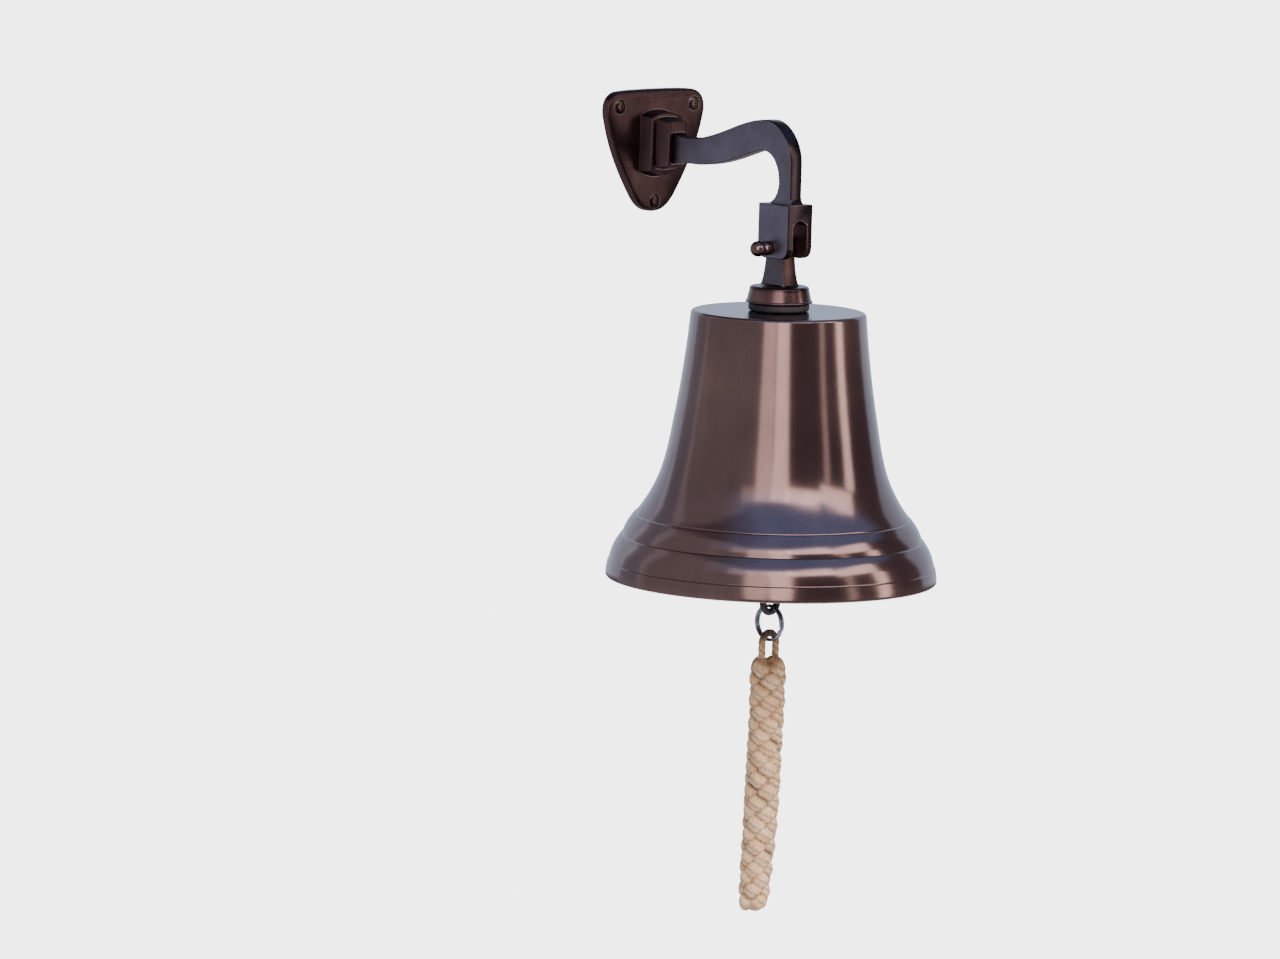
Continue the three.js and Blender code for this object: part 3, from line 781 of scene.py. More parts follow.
def plait_lump(angle, t, size, sides=20, steps=16):
    """One strand where it comes out of the plait, crosses its outside and tucks in again."""
    centre = sinnet_centre(t)
    radius = SINNET["radius"] + (SINNET["end_radius"] - SINNET["radius"]) * t ** 5
    half_arc, slope = math.radians(LUMP["half_arc"]), LUMP["slope"] * MM
    thick, tall = LUMP["thick"] * MM * size, LUMP["tall"] * MM * size
    least = 0.0 if 0.05 < t < 0.95 else 0.6  # the ends are open to light
    rings = []
    for i in range(steps + 1):
        s = 2 * i / steps - 1
        a = angle + half_arc * s
        tucked = s ** 4
        outward = Vector((math.cos(a), math.sin(a), 0))
        sideways = Vector((-math.sin(a), math.cos(a), 0))
        crown = radius - thick - LUMP["tuck"] * MM * tucked
        strand = centre + outward * crown + Vector((0, 0, -slope * s))
        tangent = (sideways * half_arc * (radius - thick) - Vector((0, 0, slope))).normalized()
        upward = outward.cross(tangent)
        full = math.sqrt(1 - 0.8 * tucked)
        ring, openness = [], []
        for b in angles(sides):
            lobe = 1 + 0.03 * math.cos(3 * b + 7 * s)
            offset = outward * math.cos(b) * thick + upward * math.sin(b) * tall
            point = strand + offset * full * lobe
            ring.append(point)
            # openness paints shade: deep points and the lumps' upper and lower flanks are darker
            away = (point - centre).xy.length / radius
            ridge = 0.8 * (1 - abs(math.sin(b)) ** 3)
            openness.append(max(least, ridge, min(1.0, (away - 0.76) / 0.17)))
        rings.append((ring, s * half_arc * radius, openness))
    return sweep(rings)


def plait_core(stretches=24, sides=12):
    """The middle that closes the gaps between the lumps, painted dark as shade, narrower at its ends and
    painted lighter there.
    """
    rings = []
    for i in range(stretches + 1):
        centre = sinnet_centre(0.01 + 0.98 * i / stretches)
        from_end = min(i, stretches - i)
        radius = (SINNET["radius"] - 4.2 * MM) * (1 if from_end else 0.6)
        ring = [centre + radius * Vector((math.cos(a), math.sin(a), 0)) for a in angles(sides)]
        rings.append((ring, 0.0, [0.65 if from_end < 2 else 0.0] * sides))
    return sweep(rings)


def lanyard_sinnet():
    """Layers of four lumps, each layer turned half a lump from the last, and none quite even."""
    length = SINNET["top"] - SINNET["bottom"]
    first, last = 5.6 * MM, length - 5.8 * MM
    layers = round((last - first) / LAYER)
    parts = [plait_core()]
    for layer in range(layers + 1):
        t = (first + layer * (last - first) / layers) / length
        for quarter in range(4):
            uneven = math.sin(3.7 * layer + 2.3 * quarter)
            angle = 45 * (layer % 2) + 90 * quarter + 12 + 1.1 * layer + 4 * uneven
            shift = 0.5 * MM / length * math.sin(5.1 * layer + 1.7 * quarter)
            parts.append(plait_lump(math.radians(angle), t + shift, 1 + 0.06 * uneven))
    return finished(cord_mesh("lanyard_plait", parts), "lanyard", "cotton", "lanyard_sinnet")


def laid_cord(name, line, radius, sides=18):
    """A three-strand cord along a line of points."""
    rings = []
    along = 0.0
    side = Vector((0, 1, 0))
    for i, point in enumerate(line):
        before, after = line[max(i - 1, 0)], line[min(i + 1, len(line) - 1)]
        across = side.cross((after - before).normalized()).normalized()
        along += (point - before).length
        turn = 2 * math.pi * along / CORD_LAY
        ring, openness = [], []
        for b in angles(sides):
            # the grooves between the strands get low openness, which paints shade into them
            crown = abs(math.cos(1.5 * (b + turn)))
            size = radius * (0.93 + 0.09 * crown)
            ring.append(point + (across * math.cos(b) + side * math.sin(b)) * size)
            openness.append(crown ** 0.5)
        rings.append((ring, along, openness))
    return cord_mesh(name, [sweep(rings)])


def lanyard_eye(bend_steps=20, leg_steps=14):
    """The cord's loop through the split ring: up one side, over, and down into the plait."""
    low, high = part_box("lanyard_eye")
    half = high.x - CORD_R
    shoulder = high.z - CORD_R - half
    drop = shoulder - (low.z - 2.5 * MM)
    line = [Vector((-half, -reach, shoulder - drop * (1 - i / leg_steps))) for i in range(leg_steps)]
    for i in range(bend_steps + 1):
        a = math.pi * i / bend_steps
        line.append(Vector((-half * math.cos(a), -reach, shoulder + half * math.sin(a))))
    for i in range(leg_steps):
        line.append(Vector((half, -reach, shoulder - drop * (i + 1) / leg_steps)))
    return finished(laid_cord("lanyard_loop", line, CORD_R), "lanyard", "cotton", "lanyard_eye")


def declare_lanyard(plait, loop):
    route = [sinnet_centre(i / 20) for i in range(21)]


# ---- bell ----------------------------------------------------------------------------------

CROWN_BORE = 4.3

# [radius, height above the mouth]
BELL_OUTSIDE = [
    # rim band
    [(89.2, 0.0), (89.75, 0.35), (90.0, 1.0), (89.95, 3.0), (89.7, 5.2), (89.1, 8.1)],
    # rim line, cut in
    [(88.7, 8.25), (88.45, 8.5), (88.6, 8.8)],
    # lower band, up to the middle step
    [(88.5, 9.0), (87.9, 11.6), (86.7, 15.2), (84.9, 18.8), (83.2, 21.4), (82.4, 22.5)],
    [(81.9, 22.7), (81.5, 22.9)],
    [(81.45, 23.2), (80.5, 26.0), (78.6, 29.7), (76.5, 32.7), (75.4, 34.1)],
    [(74.8, 34.3), (74.4, 34.5)],
    # the flare, the waist and the shoulder
    [(74.3, 34.8), (71.3, 38.9), (67.5, 45.0), (63.5, 53.0), (60.4, 61.8), (57.7, 73), (55.4, 86),
     (53.0, 100), (50.7, 116), (48.8, 132), (47.7, 143.4), (47.45, 144.6), (46.9, 145.5),
     (45.9, 145.95), (45.2, 146.0)],
    # the crown, in to the bolt's hole
    [(44.0, 146.0), (36.0, 146.0), (20.0, 146.0), (4.7, 146.0)],
]
BELL_INSIDE = [
    [(4.7, 146.0), (4.7, 140.5)],
    [(5.2, 140.5), (20, 140.5), (36.0, 140.5)],
    [(38.0, 140.3), (41.0, 139.2), (43.2, 136.5), (44.6, 131.0), (46.4, 119), (49.4, 100),
     (53.4, 73), (58.3, 53), (66.2, 37), (74.8, 24), (80.6, 12), (84.0, 3), (85.6, 0.6)],
    [(86.4, 0.05), (87.6, 0.0)],
]


def bell_shell():
    runs = BELL_OUTSIDE + BELL_INSIDE
    profile = [point for run in runs for point in curved(run, 5)] + [runs[0][0]]
    piece = on_bell("bell_shell", in_metres(profile, mouth_z), sides=180)
    smooth(piece, 24)
    return finished(piece, "bell", "bell_copper", "bell_body")


def crown_gasket():
    low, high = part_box("crown_gasket")
    r, lip, tall = high.x / MM, 0.9, (high.z - low.z) / MM
    outside = curved([(r - lip, 0), (r, lip), (r, tall - lip), (r - lip, tall)])
    profile = [(CROWN_BORE, 0), *outside, (CROWN_BORE, tall), (CROWN_BORE, 0)]
    piece = on_bell("crown_seal", in_metres(profile, low.z))
    smooth(piece, 40)
    return finished(piece, "bell", "gasket", "crown_gasket")


COLLAR = {"lip": 18.3, "rim": 16.2, "tall": 8.8}
TONGUE = {
    "deep": 13.0, "wide": 9.4, "base_deep": 17.0, "base_wide": 11.5, "head": 6.0, "foot": 7.5,
}
QUARTER_ROUND = 0.5523  # how far the handles of a quarter circle reach, in radii


def tongue_foot():
    """The height of the tongue's foot above the pivot, in millimetres."""
    return (collar_z - pivot.z) / MM + TONGUE["foot"]


def tongue_side():
    """The tongue from the side, drawn as (distance from the pivot, height above it)."""
    head, deep, base = TONGUE["head"], TONGUE["deep"] / 2, TONGUE["base_deep"] / 2
    foot, handle = tongue_foot(), QUARTER_ROUND * TONGUE["head"]
    half = pen((-base - 1.6, foot))
    curve_to(half, (-base + 0.6, foot + 1.2), (-deep - 0.9, -12.5), (-deep, -6))
    arc_to(half, (-head - 0.2, -2), (-head, 0))
    curve_to(half, (-head, handle), (-handle, head), (0, head))
    return outline_in_metres(mirrored(half), reach, pivot.z)


def tongue_front():
    """The tongue from the front, drawn as (x, height above the pivot)."""
    wide, base = TONGUE["wide"] / 2, TONGUE["base_wide"] / 2
    foot = tongue_foot()
    half = pen((-base - 1.4, foot))
    curve_to(half, (-base + 0.4, foot + 1.4), (-wide, -14), (-wide, -6))
    line_to(half, (-wide, 10))
    return outline_in_metres(mirrored(half), 0, pivot.z)


def pivot_hole():
    """The tool that drills the pivot's hole across the clevis and the tongue."""
    bar = turned("hole", in_metres([(0, -20), (3.3, -20), (3.3, 20), (0, 20)]), 64)
    return moved(bar, pivot, (0, math.pi / 2, 0))


def bell_hanger():
    lip, rim, top = COLLAR["lip"], COLLAR["rim"], COLLAR["tall"]
    runs = [
        [(0, 0), (lip - 0.5, 0)],
        [(lip - 0.15, 0.1), (lip, 0.45), (lip - 0.2, 0.9)],
        [(lip - 0.8, 1.25), (lip - 1.0, 2.2), (rim, top - 1.7)],
        [(rim, top - 1.5), (rim - 0.25, top - 0.55), (rim - 1.1, top)],
        [(rim - 1.3, top + 0.05), (11, top + 0.35), (8.0, top + 1.2), (0, top + 1.3)],
    ]
    profile = [point for run in runs for point in curved(run, 4)]
    collar = on_bell("hanger_tongue", in_metres(profile, collar_z))
    tongue = side_on(flat_piece("side", tongue_side(), -12 * MM, 12 * MM, 0, 16))
    front = out_from_wall(flat_piece("front", tongue_front(), 60 * MM, 150 * MM, 0, 12))
    combine(tongue, front, "INTERSECT")
    clean(tongue, merge=SAME_POINT, flatten=0.3)
    ease_edges(tongue, 0.7 * MM, 3, 50)
    combine(collar, tongue, "UNION")
    combine(collar, pivot_hole(), "DIFFERENCE")
    smooth(collar, 35)
    return finished(collar, "bell", "antique_copper", "bell_hanger", finish="hanger")


# ---- bracket -------------------------------------------------------------------------------


def arm_outline():
    """The swan neck from the side, as (distance from the wall, height)."""
    top, bottom = ARM["root_z"] + ARM["root_half"], ARM["root_z"] - ARM["root_half"]
    boss, foot = ARM["boss"], CLEVIS["top"]
    knots = pen((ARM["start"], top))
    line_to(knots, (boss + 1, top))
    arc_to(knots, (boss + 4, -15.2), (31, -15.4))
    curve_to(knots, (54, -17), (74, -1.2), (95, -1.2))
    curve_to(knots, (104, -1.2), (114.4, -11.5), (114.4, -24))
    line_to(knots, (114.4, -41))
    arc_to(knots, (114.6, -44.8), (117.1, foot - 0.2))
    line_to(knots, (117.1, foot - 3), (97, foot - 3), (97, foot - 0.2))
    arc_to(knots, (104, -43.8), (105.1, -35))
    curve_to(knots, (105.1, -25), (99.5, -18), (92.3, -18))
    curve_to(knots, (84, -18), (62, -30.6), (38, -29.7))
    arc_to(knots, (30, -29.8), (boss + 1, bottom))
    line_to(knots, (ARM["start"], bottom))
    return outline_in_metres(knots)


def clevis_outline():
    near, far, corner = CLEVIS["near"], CLEVIS["far"], CLEVIS["corner"]
    top, bottom = CLEVIS["top"], CLEVIS["bottom"]
    knots = pen((near, top))
    line_to(knots, (near, bottom + corner))
    arc_to(knots, (near + 0.3, bottom), (near + corner, bottom))
    line_to(knots, (far - corner, bottom))
    arc_to(knots, (far - 0.3, bottom), (far, bottom + corner))
    line_to(knots, (far, top))
    return outline_in_metres(knots)


def slot_outline():
    half, top, low = SLOT["half"], SLOT["top"], CLEVIS["bottom"] - 5
    knots = pen((-half, low))
    line_to(knots, (half, low), (half, top))
    arc_to(knots, (0, top + 2 * SLOT["rise"]), (-half, top))
    return outline_in_metres(knots)


def swan_neck():
    half, ease = ARM["half"] * MM, ARM["ease"] * MM
    bar = side_on(flat_piece("swan_neck", arm_outline(), -half, half, ease, 18))
    half = CLEVIS["half"] * MM
    clevis = side_on(flat_piece("clevis", clevis_outline(), -half, half, 0.7 * MM, 8))
    slot = out_from_wall(flat_piece("slot", slot_outline(), 80 * MM, 130 * MM, 0, 12))
    combine(clevis, slot, "DIFFERENCE")
    combine(bar, clevis, "UNION")
    combine(bar, pivot_hole(), "DIFFERENCE")
    smooth(bar, 35)
    return finished(bar, "bracket", "satin_bracket", "bracket_arm")


PLATE = {"thick": 5.0, "top": 8.9, "half": 37.4, "bottom": -58.6, "ease": 2.0}
BOSS = (
    {"base": 3.0, "depth": 13.5, "draft": 0.08, "half": 12.4, "top": -2.0, "rise": 3.0, "bottom": -39.4},
    {"base": 11.5, "depth": 22.5, "draft": 0.12, "half": 8.0, "top": -5.4, "rise": 1.0, "bottom": -34.8},
)
SCREW = {"head": 4.1, "shank": 2.1, "sink": 2.6, "bore": 2.4}
SCREW_SIDES = ("left", "right", "bottom")


def plate_outline():
    """The plate from the front, as (x, height): a rounded triangle that stands on its point."""
    w, top, bottom = PLATE["half"], PLATE["top"], PLATE["bottom"]
    half = pen((0, top))
    curve_to(half, (w * 0.4, top), (w * 0.7, top - 0.3), (w * 0.78, top - 1))
    curve_to(half, (w * 0.95, top - 2.6), (w * 1.02, top - 8), (w * 0.97, top - 15))
    curve_to(half, (w * 0.86, top - 33), (w * 0.62, top - 47), (w * 0.46, bottom + 11.5))
    curve_to(half, (w * 0.32, bottom + 3), (w * 0.18, bottom), (0, bottom))
    return outline_in_metres(mirrored(half))


def boss_outline(step):
    half, top, rise, bottom = step["half"], step["top"], step["rise"], step["bottom"]
    knots = pen((-half, bottom + rise))
    arc_to(knots, (0, bottom - rise), (half, bottom + rise))
    line_to(knots, (half, top - rise))
    arc_to(knots, (0, top + rise), (-half, top - rise))
    return outline_in_metres(knots)


def boss_step(step):
    """A step of the boss, from inside what is behind it, narrowed to its front by its draft."""
    base, depth = step["base"] * MM, step["depth"] * MM
    piece = flat_piece("step", boss_outline(step), base, depth, 0, 16)
    ease_edges(piece, 0.9 * MM, 3, 40)
    centre = (step["top"] + step["bottom"]) / 2 * MM
    take(piece)
    for point in piece.data.vertices:
        point.select = point.co.z > (base + depth) / 2
    bpy.ops.object.mode_set(mode="EDIT")
    bpy.ops.mesh.select_mode(type="VERT")
    narrow = 1 - step["draft"]
    bpy.ops.transform.resize(value=(narrow, narrow, 1), center_override=(0, centre, depth))
    bpy.ops.object.mode_set(mode="OBJECT")
    return out_from_wall(piece)


def screw_place(side):
    low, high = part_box(f"wall_screw_{side}")
    return Vector(((low.x + high.x) / 2, 0, (low.z + high.z) / 2))


def screw_bore(place):
    """The tool that cuts a countersunk hole through the plate."""
    bore, mouth, face = SCREW["bore"], SCREW["head"] + 0.3, PLATE["thick"] + 0.2
    profile = [
        (0, -1), (bore, -1), (bore, PLATE["thick"] - SCREW["sink"]), (mouth, face),
        (mouth + 0.4, face + 0.4), (mouth + 0.4, 12), (0, 12),
    ]
    return out_from_wall(turned("bore", in_metres(profile), 48), place)


def arm_pocket():
    """The tool that cuts the socket for the arm's root into the boss."""
    deep = ARM["boss"] - ARM["start"] + 0.3
    size = (2 * ARM["half"] + 0.6, deep + 2, 2 * ARM["root_half"] + 0.6)
    place = (0, deep / 2 - ARM["boss"] - 1, ARM["root_z"])
    return block(Vector(size) * MM, Vector(place) * MM)


def fixing_bore():
    """The tool that cuts the countersunk hole for the arm's screw, from the plate's back."""
    profile = [(0, -1), (6.3, -1), (6.3, 0.6), (3.2, 4), (3.2, 18), (0, 18)]
    return out_from_wall(turned("bore", in_metres(profile), 48), (0, 0, ARM["root_z"] * MM))


def mounting_plate():
    thick, ease = PLATE["thick"] * MM, PLATE["ease"] * MM
    slab = flat_piece("mounting_plate", plate_outline(), -thick, thick, ease, 14)
    out_from_wall(slab)
    combine(slab, block((0.2, 0.2, 0.2), (0, 0.1, 0)), "DIFFERENCE")
    for step in BOSS:
        combine(slab, boss_step(step), "UNION")
    for side in SCREW_SIDES:
        combine(slab, screw_bore(screw_place(side)), "DIFFERENCE")
    combine(slab, arm_pocket(), "DIFFERENCE")
    combine(slab, fixing_bore(), "DIFFERENCE")
    smooth(slab, 32)
    return finished(slab, "bracket", "antique_copper", "wall_plate")


def cross_recess(screw, face, depth, arm, width, narrowed=False):
    """Cuts a cross-head driver's recess into a screw that is turned about Z."""
    for turn in (0, math.pi / 2):
        bar = block(Vector((2 * arm, width, 2 * depth)) * MM, (0, 0, face * MM), (0, 0, turn))
        if narrowed:
            bpy.ops.object.mode_set(mode="EDIT")
            bpy.ops.mesh.select_all(action="DESELECT")
            bpy.ops.object.mode_set(mode="OBJECT")
            for side in bar.data.polygons:
                side.select = side.normal.z < -0.9
            bpy.ops.object.mode_set(mode="EDIT")
            floor = (0, 0, (face - depth) * MM)
            bpy.ops.transform.resize(value=(0.5, 0.5, 1), center_override=floor)
            bpy.ops.object.mode_set(mode="OBJECT")
        combine(screw, bar, "DIFFERENCE")


def thread(radius, low, high, pitch, deep):
    """The edge of a threaded shank as V-shaped rings, from low to high."""
    points = []
    count = int((high - low) / pitch)
    for i in range(count):
        z = low + i * pitch
        points += [(radius - deep, z), (radius, z + pitch * 0.5)]
    return points + [(radius - deep, low + count * pitch)]


def wall_screw(side):
    head, shank, face = SCREW["head"], SCREW["shank"], PLATE["thick"]
    tip = -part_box(f"wall_screw_{side}")[1].y / MM
    profile = [
        (0, tip), (shank * 0.35, tip + 1.6), *thread(shank, tip + 2.2, 0.7, 1.5, 0.55),
        (shank, 1.2), (shank, face - SCREW["sink"]), (head - 0.15, face - 0.15), (head, face),
        *curved([(head * 0.96, face + 0.12), (head * 0.6, face + 0.7), (0, face + 0.9)], 5),
    ]
    screw = turned(f"plate_screw_{side}", in_metres(profile), 40)
    cross_recess(screw, face + 0.9, 1.3, 2.5, 0.95, narrowed=True)
    out_from_wall(screw, screw_place(side))
    smooth(screw, 32)
    return finished(screw, "bracket", "dark_screw", f"wall_screw_{side}")


def arm_screw():
    """A machine screw from the plate's back, with its countersunk head flush in the plate."""
    low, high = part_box("arm_fixing_screw")
    start, end = -high.y / MM, -low.y / MM
    head, shank, rim, cone = 6.0, 2.9, 0.5, 3.4
    profile = [
        (0, start), (head - 0.1, start), (head, start + 0.1), (head, start + rim),
        (shank, start + rim + cone), (shank, start + 8),
        *thread(shank, start + 8.4, end - 1.2, 1.0, 0.45), (shank * 0.6, end), (0, end),
    ]
    screw = turned("arm_screw", in_metres(profile), 40)
    cross_recess(screw, start, 1.5, 3.4, 1.15)
    out_from_wall(screw, (0, 0, ARM["root_z"] * MM))
    smooth(screw, 32)
    return finished(screw, "bracket", "zinc", "arm_fixing_screw")


PIVOT = {
    "shank": 3.0, "ear": 9.7, "barrel": 3.9, "barrel_end": 13.9, "neck": 2.8, "ball": 4.3,
    "ball_at": 17.2,
}


def ball_end(steps=18):
    """From the ear's face out: a short barrel, a neck and a ball, as (radius, distance)."""
    ear, barrel, end = PIVOT["ear"], PIVOT["barrel"], PIVOT["barrel_end"]
    neck, ball = PIVOT["neck"], PIVOT["ball"]
    points = [
        (barrel - 0.4, ear), (barrel - 0.1, ear + 0.15), (barrel, ear + 0.5),
        (barrel, end - 1.2), (barrel - 0.25, end - 0.7), (neck + 0.1, end - 0.2),
    ]
    first = math.pi - math.asin(neck / ball)
    for i in range(steps + 1):
        a = first * (1 - i / steps)
        points.append((ball * math.sin(a), PIVOT["ball_at"] + ball * math.cos(a)))
    return points


def pivot_half(name, node, middle, side):
    """The pivot's pin or its nut, from its middle out to the ball on one side."""
    piece = turned(name, in_metres(middle + ball_end()), 64)
    moved(piece, pivot, (0, side * math.pi / 2, 0))
    smooth(piece, 40)
    return finished(piece, "bracket", "antique_copper", node, finish="pivot")


def pivot_pin():
    shank, start = PIVOT["shank"], 1 - PIVOT["ball_at"]
    middle = [(0, start), (shank - 0.3, start), (shank, start + 0.3), (shank, PIVOT["ear"])]
    return pivot_half("pivot_pin", "pivot_bolt", middle, -1)


def pivot_nut():
    bore, floor = PIVOT["shank"] + 0.3, PIVOT["ball_at"] - 0.7
    middle = [(0, floor), (bore, floor), (bore, PIVOT["ear"])]
    return pivot_half("pivot_nut", "pivot_ball_nut", middle, 1)


# ---- inside the bell -----------------------------------------------------------------------


def loop_points(plane, half, high, centre_z, steps=64):
    """A round or straight-sided loop in an upright plane: "x" for XZ, "y" for YZ."""
    points = []
    for i in range(steps):
        a = 2 * math.pi * (i + 0.5) / steps
        across = half * math.cos(a)
        up = half * math.sin(a) + math.copysign(high - half, math.sin(a))
        offset = Vector((across, 0, up)) if plane == "x" else Vector((0, across, up))
        points.append(offset + Vector((0, -reach, centre_z)))
    return points


def forged_eye(plane, radius, centre_z, wire):
    return round_wire("eye", loop_points(plane, radius, radius, centre_z), wire, closed=True)


def flat_washer(name, node):
    low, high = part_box(node)
    r, tall, e = high.x / MM, (high.z - low.z) / MM, 0.25
    profile = [
        (CROWN_BORE, 0), (r - e, 0), (r, e), (r, tall - e), (r - e, tall), (CROWN_BORE, tall),
        (CROWN_BORE, 0),
    ]
    return smooth(on_bell(name, in_metres(profile, low.z), 72), 35)


def crown_washers():
    """A flat washer, and a spring washer that is cut through on a slant."""
    finished(flat_washer("crown_washer", "inner_washer"), "bell", "zinc", "inner_washer")
    spring = flat_washer("spring_washer", "lock_washer")
    low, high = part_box("lock_washer")
    place = (5.8 * MM, -reach, (low.z + high.z) / 2)
    combine(spring, block(Vector((6, 1.0, 6)) * MM, place, (0.4, 0, 0)), "DIFFERENCE")
    smooth(spring, 35)
    finished(spring, "bell", "zinc", "lock_washer")


def crown_nut():
    """A hexagon nut, chamfered all round by the cone that it is cut to."""
    low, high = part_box("clamp_nut")
    flat, tall = (high.x - low.x) / 2 / MM, (high.z - low.z) / MM
    across = flat / math.cos(math.pi / 6)
    deselect_all()
    bpy.ops.mesh.primitive_cylinder_add(
        vertices=6, radius=across * MM, depth=tall * MM, location=(0, -reach, (low.z + high.z) / 2),
    )
    nut = settle(bpy.context.object, "crown_nut")
    edge = [(across * 1.02, 1.1), (across * 1.02, tall - 1.1)]
    cone = [(0, 0), (flat * 0.98, 0), *edge, (flat * 0.98, tall), (0, tall)]
    bore = [(0, -1), (CROWN_BORE, -1), (CROWN_BORE, tall + 1), (0, tall + 1)]
    combine(nut, on_bell("cone", in_metres(cone, low.z), 72), "INTERSECT")
    combine(nut, on_bell("bore", in_metres(bore, low.z), 48), "DIFFERENCE")
    ease_edges(nut, 0.2 * MM, 2, 25)
    smooth(nut, 30)
    return finished(nut, "bell", "zinc", "clamp_nut")


EYEBOLT = {"wire": 2.2, "shank": 4.0, "pitch": 1.25, "thread_deep": 0.6}


def eyebolt():
    low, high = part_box("clapper_eyebolt")
    wire, shank = EYEBOLT["wire"], EYEBOLT["shank"]
    ring = (high.y - low.y) / 2 / MM - wire
    centre_z = low.z + (wire + ring) * MM
    top, neck = (high.z - centre_z) / MM, ring + wire + 1.5
    threads = thread(shank, neck, top - 0.6, EYEBOLT["pitch"], EYEBOLT["thread_deep"])
    profile = [(0, ring - 0.8), (wire, ring - 0.4), (shank, neck - 1.2), *threads, (0, top)]
    bolt = on_bell("crown_eyebolt", in_metres(profile, centre_z), 48)
    combine(bolt, forged_eye("y", ring * MM, centre_z, wire * MM), "UNION")
    smooth(bolt, 32)
    return finished(bolt, "bell", "zinc", "clapper_eyebolt")


def clapper_link():
    low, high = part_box("clapper_link")
    wire = (high.y - low.y) / 2
    half, long = high.x - wire, (high.z - low.z) / 2 - wire
    points = loop_points("x", half, long, (low.z + high.z) / 2, 72)
    link = round_wire("hanging_link", points, wire, closed=True)
    smooth(link, 60)
    return finished(link, "link", "ring_steel", "clapper_link")


CLAPPER = {"rod": 2.5, "eye_wire": 2.0, "top_eye": 5.5, "tail_eye": 5.2, "ball": 19.0, "seam": 0.25}


def clapper_shaft():
    """A forged rod with an eye at each end, set across each other."""
    low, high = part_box("clapper_rod")
    rod, wire, top, tail = (CLAPPER[key] for key in ("rod", "eye_wire", "top_eye", "tail_eye"))
    top_z, tail_z = high.z - (wire + top) * MM, low.z + (wire + tail) * MM
    start, end = tail, (top_z - tail_z) / MM - top
    profile = [
        (0, start - 0.6), (rod * 0.85, start - 0.2), (rod, start + 2.5),
        (rod, end - 3), (rod * 0.9, end), (0, end + 0.6),
    ]
    shaft = on_bell("clapper_shaft", in_metres(profile, tail_z), 32)
    combine(shaft, forged_eye("y", top * MM, top_z, wire * MM), "UNION")
    combine(shaft, forged_eye("x", tail * MM, tail_z, wire * MM), "UNION")
    smooth(shaft, 40)
    return finished(shaft, "clapper", "black_iron", "clapper_rod")


def clapper_striker(steps=48):
    """The ball that strikes the bell, bored for the rod, with the seam of its casting."""
    low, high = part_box("clapper_ball")
    r, bore = CLAPPER["ball"], CLAPPER["rod"] + 0.3
    start = math.asin(bore / r)
    profile = []
    for i in range(steps + 1):
        a = start + (math.pi - 2 * start) * i / steps
        from_seam = (a - math.pi / 2) * r
        size = r + CLAPPER["seam"] * math.exp(-((from_seam / 0.5) ** 2))
        profile.append((size * math.sin(a), size * math.cos(a)))
    profile += [(bore, -r * math.cos(start)), (bore, r * math.cos(start))]
    ball = on_bell("clapper_striker", in_metres(profile, (low.z + high.z) / 2))
    smooth(ball, 40)
    return finished(ball, "clapper", "black_iron", "clapper_ball")


def key_ring(wire=0.8 * MM, steps=180):
    """Two coils of spring wire lying side by side, with their ends on the outer faces."""
    low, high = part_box("split_ring")
    ring, offset = (high.z - low.z) / 2 - wire, high.x - wire
    centre = (low + high) / 2
    points = []
    for i in range(steps + 1):
        turns = 2 * i / steps
        a = math.radians(200) + turns * 2 * math.pi
        crossed = min(1.0, max(0.0, (turns - 0.93) / 0.14))
        crossed = crossed * crossed * (3 - 2 * crossed)
        side = offset * (2 * crossed - 1)
        points.append(centre + Vector((side, ring * math.cos(a), ring * math.sin(a))))
    piece = round_wire("key_ring", points, wire, sides=5)
    smooth(piece, 60)
    return finished(piece, "ring", "ring_steel", "split_ring")


# ---- stage and light -----------------------------------------------------------------------

FLOOR_RADIUS = 0.55
FLOOR_DROP = 0.16  # from the lanyard's end to the floor


def stage():
    deselect_all()
    place = (0, -reach, cad_box[0].z - FLOOR_DROP)
    bpy.ops.mesh.primitive_circle_add(
        vertices=96, radius=FLOOR_RADIUS, location=place, fill_type="NGON",
    )
    floor = settle(bpy.context.object, "studio_floor")
    finish = Finish("studio_floor", roughness=0.9, base_color=(0.86, 0.86, 0.87, 1))
    floor.data.materials.append(finish.material)


LIGHT_DISTANCE = 2.2
WARM, COOL, PALE = (1.0, 0.91, 0.87), (0.87, 0.93, 1.0), (0.55, 0.74, 1.0)

# each light's azimuths from the camera, its elevations, its radiance and its colour
SOFTBOXES = {
    "window_left": ((-18, -2), (-8, 41), 2.4, WARM),
    "window_right": ((-1, 15), (-8, 41), 3.9, WARM),
    "bank_near": ((14, 50), (29, 42), 4.4, WARM),
    "bank_far": ((50, 88), (24, 38), 4.0, WARM),
    "bank_left": ((-34, -18), (28, 41), 0.7, WARM),
    "strip_near": ((55, 61), (-10, 22), 1.3, WARM),
    "strip_far": ((80, 90), (-10, 22), 4.0, WARM),
    "left_wall": ((-106, -18), (-24, 50), 0.30, COOL),
    "left_far": ((-132, -100), (-24, 40), 0.34, (0.58, 0.77, 1.0)),
    "back_wall": ((128, 232), (-10, 34), 0.85, PALE),
    "fill": ((18, 58), (28, 62), 13.0, (1.0, 0.91, 0.8)),
}


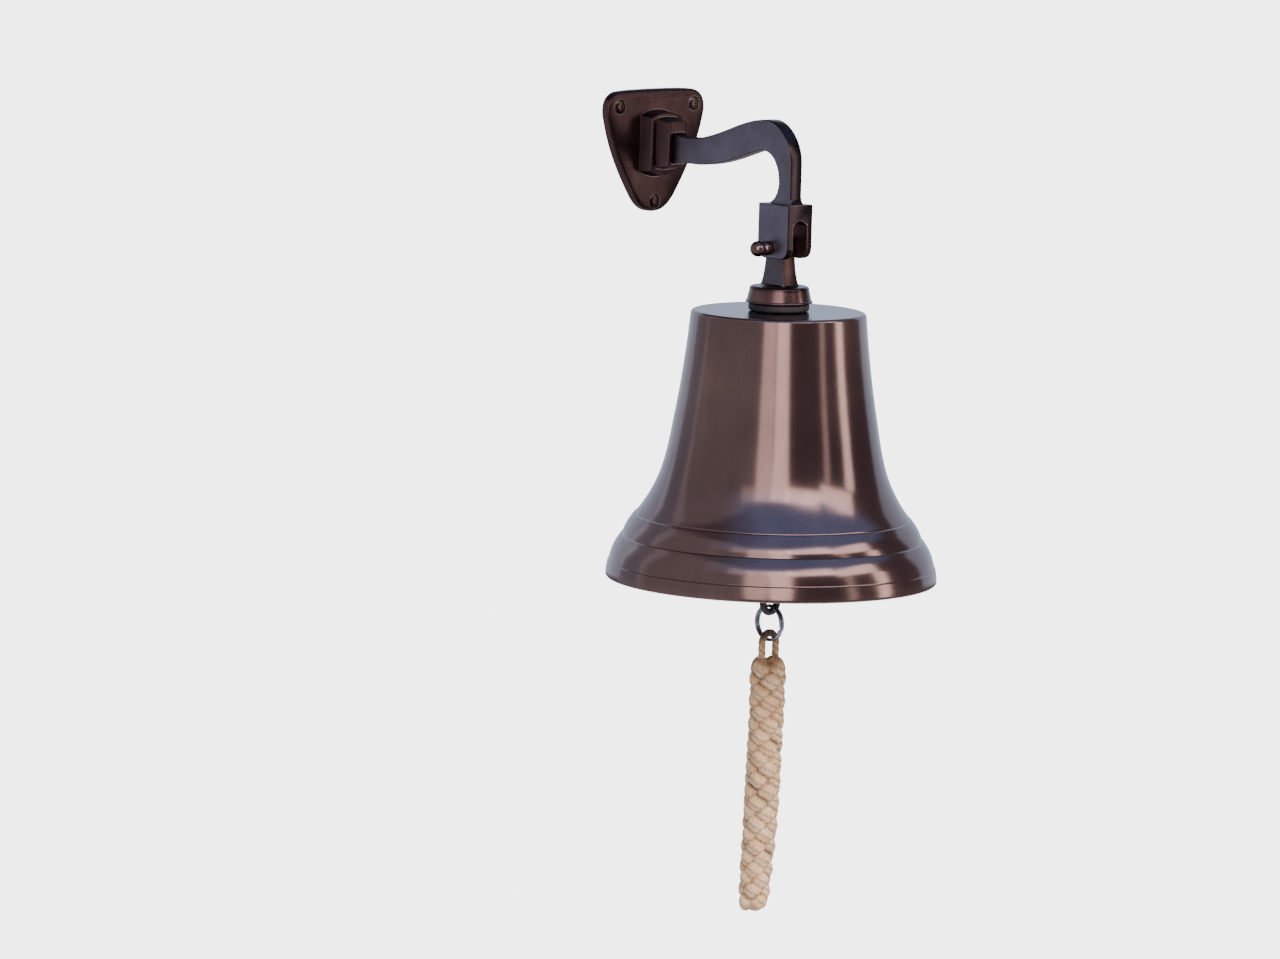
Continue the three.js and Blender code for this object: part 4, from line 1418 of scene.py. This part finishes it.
def softbox(name, azimuths, elevations, radiance, tint):
    """An area light that fills a range of angles round the bell from the camera."""
    a = math.radians(CAMERA["azimuth"] + sum(azimuths) / 2)
    e = math.radians(sum(elevations) / 2)
    width = 2 * LIGHT_DISTANCE * math.tan(math.radians(azimuths[1] - azimuths[0]) / 2)
    width *= math.cos(e)
    height = 2 * LIGHT_DISTANCE * math.tan(math.radians(elevations[1] - elevations[0]) / 2)
    target = Vector((0, -reach, (mouth_z + crown_z) / 2))
    back = Vector((math.sin(a) * math.cos(e), -math.cos(a) * math.cos(e), math.sin(e)))
    bpy.ops.object.light_add(type="AREA", location=target + back * LIGHT_DISTANCE)
    light = bpy.context.object
    light.name = name
    light.rotation_mode = "QUATERNION"
    light.rotation_quaternion = (-back).to_track_quat("-Z", "Y")
    light.data.shape = "RECTANGLE"
    light.data.size = width
    light.data.size_y = height
    light.data.energy = radiance * math.pi * width * height
    light.data.color = tint
    light.visible_camera = False
    light.visible_glossy = name != "fill"  # the fill lights the rope, and metal doesn't show it


# ramps from straight down (0) to straight up (1)
WORLD_LOW = (
    (0.0, (0.5, 0.5, 0.54)), (0.47, (0.26, 0.22, 0.24)), (0.52, (0.2, 0.16, 0.185)),
)
WORLD_ROUND = (*WORLD_LOW, (1.0, (0.2, 0.17, 0.2)))
WORLD_SKY = (
    *WORLD_LOW, (0.76, (0.2, 0.17, 0.2)), (0.81, (0.33, 0.48, 0.9)), (1.0, (0.42, 0.62, 1.2)),
)
SKY_EDGE = -42  # the blue starts here, in degrees round the bell from the camera
BACKDROP = (4.5, 4.5, 4.5)


def world_light():
    """Dark brown all round, and blue above on one side; the camera sees white behind the bell."""
    world = bpy.data.worlds.new("studio")
    bpy.context.scene.world = world
    world.use_nodes = True
    graph = Graph(world.node_tree)
    place = graph.coordinates("Generated")
    height = graph.split(place)[2] * 0.5 + 0.5
    edge = math.radians(CAMERA["azimuth"] + SKY_EDGE)
    beyond = graph.dot(place, (math.cos(edge), math.sin(edge), 0))
    side = graph.steps(beyond, -0.25, 0.3, curve="LINEAR")
    around = graph.mix(side, graph.ramp(height, *WORLD_ROUND), graph.ramp(height, *WORLD_SKY))
    camera_ray = graph.node("ShaderNodeLightPath", {}, {}, "Is Camera Ray")
    seen = graph.mix(camera_ray, around, opaque(BACKDROP))
    graph.links.new(seen.socket, graph.nodes["Background"].inputs[0])


# ---- build ---------------------------------------------------------------------------------

add_camera()
declare_lanyard(lanyard_sinnet(), lanyard_eye())

bell_shell()
crown_gasket()
bell_hanger()
crown_washers()
crown_nut()
eyebolt()
clapper_link()
clapper_shaft()
clapper_striker()
key_ring()

mounting_plate()
for screw_side in SCREW_SIDES:
    wall_screw(screw_side)
arm_screw()
swan_neck()
pivot_pin()
pivot_nut()

stage()
world_light()
for light_name, light_values in SOFTBOXES.items():
    softbox(light_name, *light_values)
